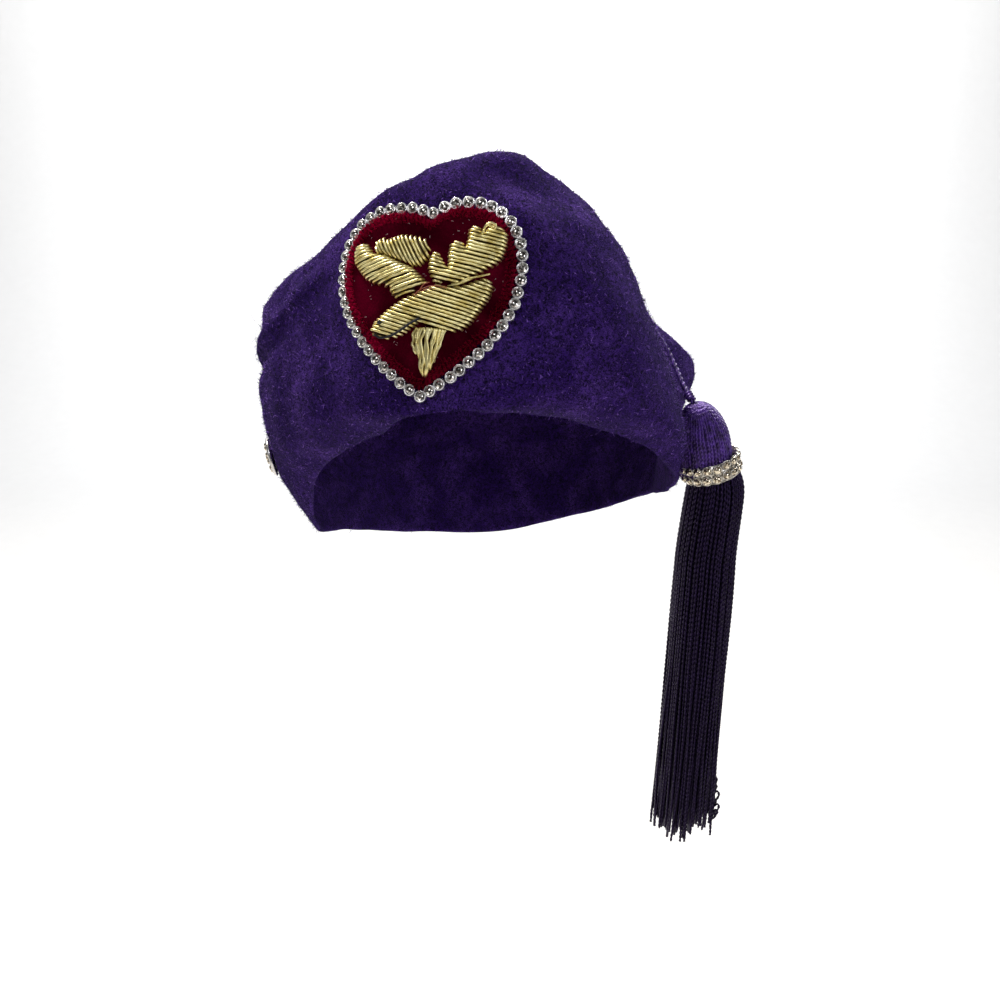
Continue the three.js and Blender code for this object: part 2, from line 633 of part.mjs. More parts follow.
/** A disc with a ring of set stones round a larger one. */
function sideBrooch() {
  const radius = BROOCH_DIAMETER / 2;
  const seat = seatOnWall(BROOCH_SEAT, radius);
  const section = [[0, 0], [radius, 0], [radius, BROOCH_THICKNESS], [0, BROOCH_THICKNESS]];
  const disc = turned(section, BROOCH_SIDES, seat);
  const along = new THREE.Vector3(0, 0, 1).cross(seat.out).normalize();
  const across = seat.out.clone().cross(along);
  const stoneAt = (s, t, diameter) => {
    const at = seat.at.clone().addScaledVector(along, s).addScaledVector(across, t);
    at.addScaledVector(seat.out, BROOCH_THICKNESS / 2);
    return setStone(diameter, BROOCH_THICKNESS, STONE_RISE, { at, out: seat.out, along, across });
  };
  const ring = BROOCH_SHARES.ring * radius;
  const stones = Array.from({ length: BROOCH_STONE_COUNT }, (_, n) => {
    const angle = (n * 2 * Math.PI) / BROOCH_STONE_COUNT;
    return stoneAt(ring * Math.cos(angle), ring * Math.sin(angle), BROOCH_SHARES.stone * radius);
  });
  return fuse([disc, ...stones, stoneAt(0, 0, BROOCH_SHARES.middleStone * radius)]);
}

/** A tube along the cord's route. */
function tasselCord() {
  const route = new THREE.CatmullRomCurve3(CORD_ROUTE.map((p) => new THREE.Vector3(...p)));
  const section = new THREE.Shape();
  section.absarc(0, 0, CORD_DIAMETER / 2, 0, 2 * Math.PI);
  return new THREE.ExtrudeGeometry(section, {
    steps: CORD_STEPS,
    curveSegments: CORD_SIDES / 2,
    bevelEnabled: false,
    extrudePath: route,
  });
}

/** The middle of the tassel's neck, beside the felt. */
function tasselNeck() {
  const wall = feltPoint(TASSEL_SEAT.around, TASSEL_SEAT.up);
  wall.x += TASSEL_HEAD_DIAMETER / 2 + TASSEL_STAND_OFF;
  wall.z -= TASSEL_DROP;
  return wall;
}

/** A piece's place on the tassel: aside from the neck, and leaning over it in degrees. */
function seatOnNeck(aside, lean) {
  const out = new THREE.Vector3(-Math.sin(lean * RADIANS), 0, Math.cos(lean * RADIANS));
  return { at: tasselNeck().add(new THREE.Vector3(aside, 0, 0)), out };
}

/** One lock of the tassel, hanging from its neck. */
function tasselLock(lock) {
  const neck = seatOnNeck(TASSEL_SKIRT_SHIFT, 0).at;
  const skirt = TASSEL_SKIRT_DIAMETER / 2;
  const turn = lock.around * RADIANS;
  const rings = LOCK_SECTIONS.map(({ down, spread, thick }) => {
    const out = lock.out * spread;
    const wide = lock.thick * thick;
    const height = neck.z - down * lock.long * TASSEL_SKIRT_LENGTH;
    return Array.from({ length: LOCK_SIDES }, (_, n) => {
      const angle = (n * 2 * Math.PI) / LOCK_SIDES + turn;
      const x = neck.x + skirt * (out * Math.sin(turn) + wide * Math.sin(angle));
      const y = neck.y - skirt * (out * Math.cos(turn) + wide * Math.cos(angle));
      return new THREE.Vector3(x, y, height);
    });
  });
  return loft(rings.reverse());
}

/** The tassel: its leaning head, fused to the locks of its skirt. */
function tassel() {
  const profile = scaled(HEAD_PROFILE, TASSEL_HEAD_DIAMETER / 2, TASSEL_HEAD_LENGTH);
  const head = turned(profile, TASSEL_SIDES, seatOnNeck(-TASSEL_HEAD_SHIFT, TASSEL_LEAN));
  return fuse([head, ...LOCKS.map((lock) => tasselLock(lock))]);
}

/** Two rows of set stones on a ring round the tassel's neck. */
function tasselBand() {
  const seat = seatOnNeck(0, BAND_TILT);
  const inner = TASSEL_HEAD_DIAMETER / 2 + GAP;
  const outer = inner + BAND_THICKNESS;
  const half = BAND_ROW_PITCH;
  const section = [[inner, -half], [outer, -half], [outer, half], [inner, half], [inner, -half]];
  const ring = turned(section, BAND_STONE_COUNT, seat);
  const front = new THREE.Vector3(0, -1, 0);
  const side = seat.out.clone().cross(front).normalize();
  const pitch = (2 * Math.PI * outer) / BAND_STONE_COUNT;
  const diameter = BAND_STONE_FILL * Math.min(BAND_ROW_PITCH, pitch);
  const wall = (BAND_THICKNESS + BAND_STONE_HEIGHT) / 2;
  const stones = [];
  for (const row of [-0.5, 0.5]) {
    for (let n = 0; n < BAND_STONE_COUNT; n += 1) {
      const turn = ((n + 0.5) * 2 * Math.PI) / BAND_STONE_COUNT;
      const out = side.clone().multiplyScalar(Math.sin(turn)).addScaledVector(front, Math.cos(turn));
      const at = seat.at.clone().addScaledVector(seat.out, row * BAND_ROW_PITCH);
      at.addScaledVector(out, outer - BAND_THICKNESS / 2);
      const along = seat.out.clone().cross(out);
      stones.push(setStone(diameter, wall, BAND_STONE_HEIGHT / 2, { at, out, along, across: seat.out }));
    }
  }
  return fuse([ring, ...stones]);
}

const felt = new THREE.MeshStandardMaterial({ color: "#3b1a78", roughness: 0.95, metalness: 0 });
const velvet = new THREE.MeshStandardMaterial({ color: "#7a0a20", roughness: 0.9, metalness: 0 });
const silver = new THREE.MeshStandardMaterial({ color: "#d8d8dc", roughness: 0.25, metalness: 0.6 });
const gold = new THREE.MeshStandardMaterial({ color: "#c9b870", roughness: 0.4, metalness: 0.7 });
const rayon = new THREE.MeshStandardMaterial({ color: "#2c1450", roughness: 0.6, metalness: 0 });
const champagne = new THREE.MeshStandardMaterial({ color: "#cbbfa0", roughness: 0.2, metalness: 0.5 });

const fez = new THREE.Group();

/** Adds a named piece to the fez. */
function add(name, geometry, material) {
  const mesh = new THREE.Mesh(geometry, material);
  mesh.name = name;
  fez.add(mesh);
}

add("felt_cap", feltCap(), felt);
add("heart_patch", heartPatch(), velvet);
add("stone_trim", stoneTrim(), silver);
for (const [name, sections] of Object.entries(BIRD)) add(name, goldPad(sections), gold);
add("side_brooch", sideBrooch(), silver);
add("crown_button", crownButton(), rayon);
add("tassel_cord", tasselCord(), rayon);
add("tassel", tassel(), rayon);
add("tassel_band", tasselBand(), champagne);

export default fez;
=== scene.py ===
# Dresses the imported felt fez: napped felt, a velvet heart edged in set stones, a gold-work bird, a
# twisted cord, and a tassel of rayon strands with a band of rhinestones round its neck.
# Sizes inside the classes are millimetres. Meshes are in metres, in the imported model's frame.

import logging
import math
from dataclasses import dataclass
from enum import Enum
from typing import Callable

import bmesh
import bpy
import numpy as np
from mathutils import Matrix, Vector


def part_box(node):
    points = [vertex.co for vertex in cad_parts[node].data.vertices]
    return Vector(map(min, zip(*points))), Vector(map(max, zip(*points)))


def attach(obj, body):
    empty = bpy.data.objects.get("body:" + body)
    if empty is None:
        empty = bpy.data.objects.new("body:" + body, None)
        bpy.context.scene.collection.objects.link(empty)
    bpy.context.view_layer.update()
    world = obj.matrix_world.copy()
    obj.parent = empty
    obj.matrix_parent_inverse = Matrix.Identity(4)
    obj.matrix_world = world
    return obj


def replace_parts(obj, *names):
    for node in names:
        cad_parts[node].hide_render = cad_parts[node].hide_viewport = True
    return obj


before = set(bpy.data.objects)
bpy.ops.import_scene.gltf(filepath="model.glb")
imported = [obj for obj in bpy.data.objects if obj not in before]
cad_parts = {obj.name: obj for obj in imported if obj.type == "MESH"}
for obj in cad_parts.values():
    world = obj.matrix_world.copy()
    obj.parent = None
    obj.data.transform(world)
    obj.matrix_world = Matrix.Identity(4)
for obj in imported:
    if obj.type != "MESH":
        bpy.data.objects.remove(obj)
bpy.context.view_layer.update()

LOG = logging.getLogger("fez")
MM = 0.001
BODY = "root"


class Slot(Enum):
    """The record's material slots."""

    FELT = "felt"
    VELVET = "velvet"
    SETTINGS = "settings"
    GOLD = "gold_work"
    RAYON = "rayon"
    BAND = "band_stones"


# ---- Materials ----


def linear(code: str) -> tuple[float, float, float, float]:
    """Turns an sRGB hex colour to linear RGBA.

    Args:
        code: A colour such as "#4a2390".

    Returns:
        Red, green, blue and an alpha of 1, as a shader takes them.
    """
    channels = [int(code[n : n + 2], 16) / 255 for n in (1, 3, 5)]
    return (*[c / 12.92 if c <= 0.04045 else ((c + 0.055) / 1.055) ** 2.4 for c in channels], 1.0)


def add_node(
    tree: bpy.types.NodeTree, kind: str, settings: dict | None = None, links: dict | None = None
) -> bpy.types.Node:
    """Adds one node with its settings and its incoming links.

    Args:
        tree: The tree that it goes into.
        kind: Blender's name of the node type.
        settings: Values by the name of a node property, or by an input's name or number.
        links: Output sockets by the input that each feeds.

    Returns:
        The new node.
    """
    node = tree.nodes.new(kind)
    for key, value in (settings or {}).items():
        if isinstance(key, str) and hasattr(node, key):
            setattr(node, key, value)
        else:
            node.inputs[key].default_value = value
    for key, socket in (links or {}).items():
        tree.links.new(socket, node.inputs[key])
    return node


@dataclass(frozen=True)
class Finish:
    """A surface finish: a Principled shader with settings of its own and a pattern in its nodes."""

    name: str

    def sockets(self) -> dict:
        """The shader's values that are the same all over."""
        return {}

    def dress(self, tree: bpy.types.NodeTree, shader: bpy.types.Node) -> None:
        """Adds the pattern's nodes.

        Args:
            tree: The material's tree.
            shader: Its Principled shader.
        """

    def make(self) -> bpy.types.Material:
        """Makes the material."""
        material = bpy.data.materials.new(self.name)
        material.use_nodes = True
        tree = material.node_tree
        tree.nodes.clear()
        shader = add_node(tree, "ShaderNodeBsdfPrincipled", self.sockets())
        add_node(tree, "ShaderNodeOutputMaterial", None, {"Surface": shader.outputs[0]})
        self.dress(tree, shader)
        return material


def noise_at(
    tree: bpy.types.NodeTree, size: float, detail: float = 3.0, distortion: float = 0.0
) -> bpy.types.NodeSocket:
    """Noise in the piece's own space.

    Args:
        tree: The material's tree.
        size: Width of one cell, in millimetres.
        detail: How many finer layers it has.
        distortion: How much it curls.

    Returns:
        Its value, from 0 to 1.
    """
    place = add_node(tree, "ShaderNodeTexCoord")
    settings = {"Scale": 1000 / size, "Detail": detail, "Distortion": distortion}
    links = {"Vector": place.outputs["Object"]}
    return add_node(tree, "ShaderNodeTexNoise", settings, links).outputs["Fac"]


def spread(
    tree: bpy.types.NodeTree, value: bpy.types.NodeSocket, low: float, high: float, to: tuple = (0.0, 1.0)
) -> bpy.types.NodeSocket:
    """Stretches a value's range.

    Args:
        tree: The material's tree.
        value: What is stretched.
        low: The value that goes to the first of to.
        high: The value that goes to the second of to.
        to: The new range.

    Returns:
        The stretched value.
    """
    settings = {"From Min": low, "From Max": high, "To Min": to[0], "To Max": to[1]}
    return add_node(tree, "ShaderNodeMapRange", settings, {"Value": value}).outputs[0]


def blended(
    tree: bpy.types.NodeTree, share: bpy.types.NodeSocket, first: object, second: object
) -> bpy.types.NodeSocket:
    """Mixes two colours.

    Args:
        tree: The material's tree.
        share: How much of the second colour shows.
        first: A hex colour or a colour socket.
        second: The same.

    Returns:
        The mixed colour.
    """
    settings = {"data_type": "RGBA"}
    links = {0: share}
    for key, colour in ((6, first), (7, second)):
        if isinstance(colour, str):
            settings[key] = linear(colour)
        else:
            links[key] = colour
    return add_node(tree, "ShaderNodeMix", settings, links).outputs[2]


def raised(
    tree: bpy.types.NodeTree,
    shader: bpy.types.Node,
    height: bpy.types.NodeSocket,
    depth: float,
    strength: float,
) -> None:
    """Gives a shader relief.

    Args:
        tree: The material's tree.
        shader: The shader that takes it.
        height: The relief, from 0 to 1.
        depth: Its depth in millimetres.
        strength: How much of it is used.
    """
    settings = {"Distance": depth * MM, "Strength": strength}
    bump = add_node(tree, "ShaderNodeBump", settings, {"Height": height})
    tree.links.new(bump.outputs[0], shader.inputs["Normal"])


@dataclass(frozen=True)
class NappedFelt(Finish):
    """Wool felt with a raised nap: brighter, crossing fibre ends over a dark ground, the shade colour being
    painted shade among the nap's clumps.

    The nap lies in clumps of a millimetre or two, and areas 16 mm across, where it lies another way, get a
    painted sheen as if they caught more light.
    """

    shade: str = "#04020a"
    ground: str = "#412180"
    sheen_patch: str = "#8258cc"
    area: float = 16.0
    clump: float = 1.7
    fibre: float = 0.6

    def sockets(self) -> dict:
        return {
            "Roughness": 0.92,
            "Sheen Weight": 0.1,
            "Sheen Roughness": 0.4,
            "Sheen Tint": linear("#a07ae0"),
            "Specular IOR Level": 0.05,
        }

    def dress(self, tree: bpy.types.NodeTree, shader: bpy.types.Node) -> None:
        clumps = noise_at(tree, self.clump, 4.0, 1.5)
        fibres = noise_at(tree, self.fibre, 2.0, 2.5)
        mixed = add_node(
            tree, "ShaderNodeMath", {"operation": "MULTIPLY_ADD", 1: 0.5}, {0: clumps, 2: fibres}
        ).outputs[0]
        # Painted shade: the low spots of the clump and fibre noise take the near-black shade colour.
        nap = spread(tree, mixed, 0.69, 0.84)
        # Painted sheen: soft patches 16 mm across lighten the nap's high spots.
        sheen_patch = spread(tree, noise_at(tree, self.area, 3.0, 0.6), 0.42, 0.72, (0.0, 0.45))
        colour = blended(tree, nap, self.shade, self.ground)
        bright = add_node(tree, "ShaderNodeMath", {"operation": "MULTIPLY"}, {0: nap, 1: sheen_patch}).outputs[0]
        colour = blended(tree, bright, colour, self.sheen_patch)
        tree.links.new(colour, shader.inputs["Base Color"])
        raised(tree, shader, mixed, 1.2, 1.0)


@dataclass(frozen=True)
class WoolFibre(Finish):
    """Single dyed wool fibres with a soft gloss; their colour runs at random from near-black to pale lilac,
    painted shade and painted glints on top of the dye's own tone.
    """

    deep: str = "#0c0422"
    pale: str = "#a87af6"

    def sockets(self) -> dict:
        return {"Roughness": 0.7, "Specular IOR Level": 0.12, "Specular Tint": linear("#b090ff")}

    def dress(self, tree: bpy.types.NodeTree, shader: bpy.types.Node) -> None:
        # Painted light: the noise spreads the fibres from a shaded near-black to a pale, lit lilac.
        tone = spread(tree, noise_at(tree, 1.3, 2.0), 0.48, 0.68)
        tree.links.new(blended(tree, tone, self.deep, self.pale), shader.inputs["Base Color"])


@dataclass(frozen=True)
class CottonVelvet(Finish):
    """Cotton velvet: a dense upright pile, nearly black face on and bright where it is seen aslant."""

    deep: str = "#2a000a"
    red: str = "#680422"
    pile: float = 0.5

    def sockets(self) -> dict:
        return {
            "Roughness": 0.95,
            "Sheen Weight": 0.7,
            "Sheen Roughness": 0.28,
            "Sheen Tint": linear("#d80a40"),
            "Specular IOR Level": 0.0,
        }

    def dress(self, tree: bpy.types.NodeTree, shader: bpy.types.Node) -> None:
        lie = spread(tree, noise_at(tree, 14.0, 3.0, 0.4), 0.35, 0.65)
        pile = noise_at(tree, self.pile, 2.0, 0.5)
        share = add_node(tree, "ShaderNodeMath", {"operation": "MULTIPLY"}, {0: lie, 1: pile}).outputs[0]
        tree.links.new(blended(tree, share, self.deep, self.red), shader.inputs["Base Color"])
        raised(tree, shader, pile, 0.25, 0.6)


@dataclass(frozen=True)
class PlatedMetal(Finish):
    """Plated metal with the small unevenness of stamping, so its gloss varies from place to place."""

    colour: str
    dull: str
    roughness: float = 0.3
    grain: float = 0.8

    def sockets(self) -> dict:
        return {"Metallic": 1.0}

    def dress(self, tree: bpy.types.NodeTree, shader: bpy.types.Node) -> None:
        grain = noise_at(tree, self.grain, 3.0)
        tone = spread(tree, grain, 0.35, 0.7)
        tree.links.new(blended(tree, tone, self.colour, self.dull), shader.inputs["Base Color"])
        gloss = spread(tree, grain, 0.3, 0.7, (self.roughness * 0.75, self.roughness * 1.35))
        tree.links.new(gloss, shader.inputs["Roughness"])
        raised(tree, shader, grain, 0.04, 0.3)


@dataclass(frozen=True)
class BullionWire(Finish):
    """Gilt bullion: a wire coiled as tight as a spring. Its coils are 0.1 mm apart, and are drawn at
    0.8 mm so that they show, as rings across the direction in which the wires run."""

    heading: tuple[float, float, float]
    colour: str = "#fbf0b4"
    dull: str = "#d2bd6c"
    coil: float = 0.8

    def sockets(self) -> dict:
        return {"Metallic": 1.0, "Roughness": 0.36}

    def dress(self, tree: bpy.types.NodeTree, shader: bpy.types.Node) -> None:
        place = add_node(tree, "ShaderNodeTexCoord")
        turn = Vector(self.heading).rotation_difference(Vector((1, 0, 0))).to_euler()
        along = add_node(
            tree, "ShaderNodeMapping", {"Rotation": tuple(turn)}, {"Vector": place.outputs["Object"]}
        )
        # A wave texture's band repeats every 2 pi / 20 of its own unit.
        settings = {"Scale": 1000 / self.coil * math.pi / 10, "Distortion": 0.4}
        coils = add_node(tree, "ShaderNodeTexWave", settings, {"Vector": along.outputs[0]}).outputs["Fac"]
        tone = spread(tree, noise_at(tree, 3.0, 3.0), 0.35, 0.7)
        tree.links.new(blended(tree, tone, self.colour, self.dull), shader.inputs["Base Color"])
        raised(tree, shader, coils, 0.05, 0.35)


@dataclass(frozen=True)
class FoiledStone(Finish):
    """Cut glass with foil behind it: each facet mirrors one part of the room, a little tinted; on top of that
    its colour carries painted fire, cells of bright flash and dark facet.
    """

    colour: str
    deep: str

    def sockets(self) -> dict:
        return {"Metallic": 0.9, "Roughness": 0.06, "Coat Weight": 1.0, "Coat Roughness": 0.02}

    def dress(self, tree: bpy.types.NodeTree, shader: bpy.types.Node) -> None:
        # Painted reflection: small noise cells switch the colour between a bright flash and a dark facet.
        fire = spread(tree, noise_at(tree, 0.9, 1.0), 0.46, 0.54)
        tree.links.new(blended(tree, fire, self.colour, self.deep), shader.inputs["Base Color"])


@dataclass(frozen=True)
class RayonYarn(Finish):
    """Viscose rayon yarn: smooth filaments, twisted, dark dyed and lustrous along their length."""

    deep: str = "#07040d"
    colour: str = "#160b28"
    gloss: float = 0.35

    def sockets(self) -> dict:
        return {"Roughness": 0.32, "Specular IOR Level": self.gloss, "Specular Tint": linear("#c8a4ff")}

    def dress(self, tree: bpy.types.NodeTree, shader: bpy.types.Node) -> None:
        tone = spread(tree, noise_at(tree, 2.4, 3.0), 0.35, 0.68)
        tree.links.new(blended(tree, tone, self.deep, self.colour), shader.inputs["Base Color"])
        raised(tree, shader, noise_at(tree, 0.5, 2.0), 0.08, 0.4)


@dataclass(frozen=True)
class PlainDye(Finish):
    """A plain dyed or coated surface with a slight mottle."""

    colour: str
    other: str
    roughness: float = 0.8
    cell: float = 1.0

    def sockets(self) -> dict:
        return {"Roughness": self.roughness}

    def dress(self, tree: bpy.types.NodeTree, shader: bpy.types.Node) -> None:
        tone = noise_at(tree, self.cell, 3.0)
        tree.links.new(blended(tree, tone, self.colour, self.other), shader.inputs["Base Color"])
        raised(tree, shader, tone, 0.1, 0.3)


# ---- Meshes ----


def finished(
    name: str,
    mesh: bpy.types.Mesh,
    slot: Slot | None,
    material: bpy.types.Material,
    smooth: bool = True,
) -> bpy.types.Object:
    """Makes an object of a mesh and lets it ride on the fez.

    Args:
        name: The piece's name.
        mesh: Its mesh, in metres.
        slot: The record's slot that it belongs to, which is not stored and only decides whether it rides on the
            fez. None for what isn't part of the fez.
        material: Its material.
        smooth: Whether its faces are shaded smooth.

    Returns:
        The piece.
    """
    mesh.name = name
    mesh.materials.append(material)
    if smooth:
        mesh.polygons.foreach_set("use_smooth", [True] * len(mesh.polygons))
    piece = bpy.data.objects.new(name, mesh)
    bpy.context.scene.collection.objects.link(piece)
    if slot is not None:
        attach(piece, BODY)
    LOG.info("%s: %d faces", name, len(mesh.polygons))
    return piece


def mesh_of(bm: bmesh.types.BMesh) -> bpy.types.Mesh:
    """Turns a bmesh to a mesh and frees it."""
    mesh = bpy.data.meshes.new("made")
    bm.to_mesh(mesh)
    bm.free()
    return mesh


def mapped_grid(
    across: int, along: int, place: Callable[[np.ndarray, np.ndarray], np.ndarray]
) -> bmesh.types.BMesh:
    """A grid of faces with each vertex moved to a place of its own, and its seams merged.

    Args:
        across: Faces across it.
        along: Faces along it.
        place: Gives points in millimetres from the shares across and along.

    Returns:
        The grid, in metres, with its faces outwards.
    """
    bm = bmesh.new()
    bmesh.ops.create_grid(bm, x_segments=across, y_segments=along, size=0.5)
    u = np.array([vert.co.x + 0.5 for vert in bm.verts])
    v = np.array([vert.co.y + 0.5 for vert in bm.verts])
    for vert, point in zip(bm.verts, place(u, v) * MM):
        vert.co = point
    bmesh.ops.remove_doubles(bm, verts=bm.verts, dist=2e-6)
    bmesh.ops.recalc_face_normals(bm, faces=bm.faces)
    return bm


def turned(profile: list[tuple[float, float]], sides: int) -> bpy.types.Mesh:
    """A round body spun from a profile of radii and heights in millimetres that starts and ends on
    its axis."""
    bm = bmesh.new()
    verts = [bm.verts.new((radius * MM, 0, height * MM)) for radius, height in profile]
    edges = [bm.edges.new(pair) for pair in zip(verts, verts[1:])]
    bmesh.ops.spin(
        bm, geom=verts + edges, axis=(0, 0, 1), cent=(0, 0, 0), angle=2 * math.pi, steps=sides, use_merge=True
    )
    bmesh.ops.remove_doubles(bm, verts=bm.verts, dist=1e-6)
    bmesh.ops.recalc_face_normals(bm, faces=bm.faces)
    return mesh_of(bm)


def repeated(parts: list[tuple[bpy.types.Mesh, np.ndarray]]) -> bpy.types.Mesh:
    """One mesh from small meshes that are each repeated at many places.

    Args:
        parts: Each small mesh with its places, as an array of 3 by 4 matrices in metres.

    Returns:
        The joined mesh.
    """
    points, corners, starts = [], [], []
    for part, places in parts:
        local = np.empty(len(part.vertices) * 3)
        part.vertices.foreach_get("co", local)
        local = local.reshape(-1, 3)
        loops = np.empty(len(part.loops), np.int64)
        part.loops.foreach_get("vertex_index", loops)
        first = np.empty(len(part.polygons), np.int64)
        part.polygons.foreach_get("loop_start", first)
        have = sum(len(p) for p in points)
        used = sum(len(c) for c in corners)
        turns = np.arange(len(places))[:, None]
        moved = np.einsum("nij,vj->nvi", places[:, :, :3], local) + places[:, None, :, 3]
        points.append(moved.reshape(-1, 3))
        corners.append((loops[None] + len(local) * turns).ravel() + have)
        starts.append((first[None] + len(loops) * turns).ravel() + used)
    mesh = bpy.data.meshes.new("repeated")
    for holder, key, value in (
        (mesh.vertices, "co", np.concatenate(points)),
        (mesh.loops, "vertex_index", np.concatenate(corners)),
        (mesh.polygons, "loop_start", np.concatenate(starts)),
    ):
        holder.add(len(value))
        holder.foreach_set(key, value.ravel())
    mesh.update(calc_edges=True)
    mesh.validate()
    return mesh


def places_of(at: np.ndarray, x: np.ndarray, y: np.ndarray, z: np.ndarray, scale: object = 1.0) -> np.ndarray:
    """Places for repeated meshes.

    Args:
        at: Points in millimetres.
        x: Where each mesh's own X goes, of unit length.
        y: The same for Y.
        z: The same for Z.
        scale: One size for all or one for each.

    Returns:
        3 by 4 matrices in metres.
    """
    size = np.broadcast_to(np.asarray(scale, float), (len(at),))[:, None, None]
    return np.concatenate([np.stack([x, y, z], -1) * size, (at * MM)[:, :, None]], -1)


def unit(v: np.ndarray) -> np.ndarray:
    """Vectors brought to unit length."""
    return v / np.maximum(np.linalg.norm(v, axis=-1, keepdims=True), 1e-12)


def swung(first: np.ndarray, second: np.ndarray, angle: np.ndarray) -> np.ndarray:
    """Directions turned from the first towards the second, one for each angle."""
    return first * np.cos(angle)[..., None] + second * np.sin(angle)[..., None]


def steps_of(line: np.ndarray) -> np.ndarray:
    """The distances from point to point of a line."""
    return np.linalg.norm(np.diff(line, axis=0), axis=1)


def run_of(line: np.ndarray) -> np.ndarray:
    """How far along a line each of its points is."""
    return np.concatenate([[0], np.cumsum(steps_of(line))])


def resampled(points: np.ndarray, count: int, closed: bool = False) -> np.ndarray:
    """Points at even steps along a line of points.

    Args:
        points: The line.
        count: How many points are wanted.
        closed: Whether the line comes back to its start.

    Returns:
        The even points. A closed line's start isn't repeated.
    """
    line = np.vstack([points, points[:1]]) if closed else points
    run = run_of(line)
    want = np.linspace(0, run[-1], count, endpoint=not closed)
    return np.stack([np.interp(want, run, line[:, k]) for k in range(line.shape[1])], -1)


def smooth_line(points: np.ndarray, step: float) -> np.ndarray:
    """A smooth curve through points, at even steps.

    Args:
        points: What it passes through.
        step: The distance between its points.

    Returns:
        The curve's points.
    """
    padded = np.vstack([2 * points[0] - points[1], points, 2 * points[-1] - points[-2]])
    t = np.linspace(0, 1, 12, endpoint=False)[:, None]
    spans = [between(*padded[n : n + 4], t) for n in range(len(points) - 1)]
    line = np.vstack([*spans, points[-1:]])
    return resampled(line, max(3, round(steps_of(line).sum() / step) + 1))


@dataclass(frozen=True)
class Yarn:
    """A strand's section and twist: plies side by side that turn round each other."""

    diameter: float
    lay: float = 0.0
    sides: int = 8

    def section(self) -> np.ndarray:
        """The outline of two plies side by side, in millimetres."""
        angle = np.arange(self.sides) * 2 * math.pi / self.sides
        waist = 0.58 + 0.42 * np.abs(np.cos(angle)) ** 1.2
        return self.diameter / 2 * np.stack([np.cos(angle) * waist, np.sin(angle) * waist * 0.95], -1)


def drawn(paths: list[np.ndarray], yarn: Yarn, seed: int = 0) -> bpy.types.Mesh:
    """Strands, wires or threads along paths, as one mesh.

    Args:
        paths: Each strand's points in millimetres.
        yarn: Its section. A lay of 0 makes it round and untwisted.
        seed: Where the random turn of each strand starts.

    Returns:
        The mesh, in metres.
    """
    rng = np.random.default_rng(seed)
    line = bpy.data.curves.new("strands", "CURVE")
    line.dimensions = "3D"
    line.use_fill_caps = True
    shape = None
    if yarn.lay:
        section = bpy.data.curves.new("section", "CURVE")
        outline = section.splines.new("POLY")
        points = yarn.section() * MM
        outline.points.add(len(points) - 1)
        outline.points.foreach_set("co", np.column_stack([points, np.zeros((len(points), 2))]).ravel())
        outline.use_cyclic_u = True
        shape = bpy.data.objects.new("section", section)
        bpy.context.scene.collection.objects.link(shape)
        line.bevel_mode = "OBJECT"
        line.bevel_object = shape
    else:
        line.bevel_depth = yarn.diameter / 2 * MM
        line.bevel_resolution = (yarn.sides - 4) // 2
    for path in paths:
        spline = line.splines.new("POLY")
        spline.points.add(len(path) - 1)
        spline.points.foreach_set("co", np.column_stack([path * MM, np.ones(len(path))]).ravel())
        if yarn.lay:
            twist = run_of(path) / yarn.lay * 2 * math.pi
            spline.points.foreach_set("tilt", twist + rng.uniform(0, 6))
    holder = bpy.data.objects.new("strands", line)
    bpy.context.scene.collection.objects.link(holder)
    view = bpy.context.evaluated_depsgraph_get()
    mesh = bpy.data.meshes.new_from_object(holder.evaluated_get(view))
    for item in filter(None, (holder, shape)):
        data = item.data
        bpy.data.objects.remove(item)
        bpy.data.curves.remove(data)
    mesh.materials.clear()
    bm = bmesh.new()
    bm.from_mesh(mesh)
    bmesh.ops.remove_doubles(bm, verts=bm.verts, dist=1e-7)
    bmesh.ops.recalc_face_normals(bm, faces=bm.faces)
    bm.to_mesh(mesh)
    bm.free()
    return mesh


# ---- The felt's form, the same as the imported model's ----


def between(a: np.ndarray, b: np.ndarray, c: np.ndarray, d: np.ndarray, t: np.ndarray) -> np.ndarray:
    """The value of a smooth curve through b and c, a share t of the way between them."""
    return b + 0.5 * t * (c - a + t * (2 * a - 5 * b + 4 * c - d + t * (3 * (b - c) + d - a)))


@dataclass(frozen=True)
class Fold:
    """A dent or ridge of the felt: its middle, its spread, its slant, and how far out it goes in mm."""

    around: float
    up: float
    wide: float
    tall: float
    slant: float
    out: float


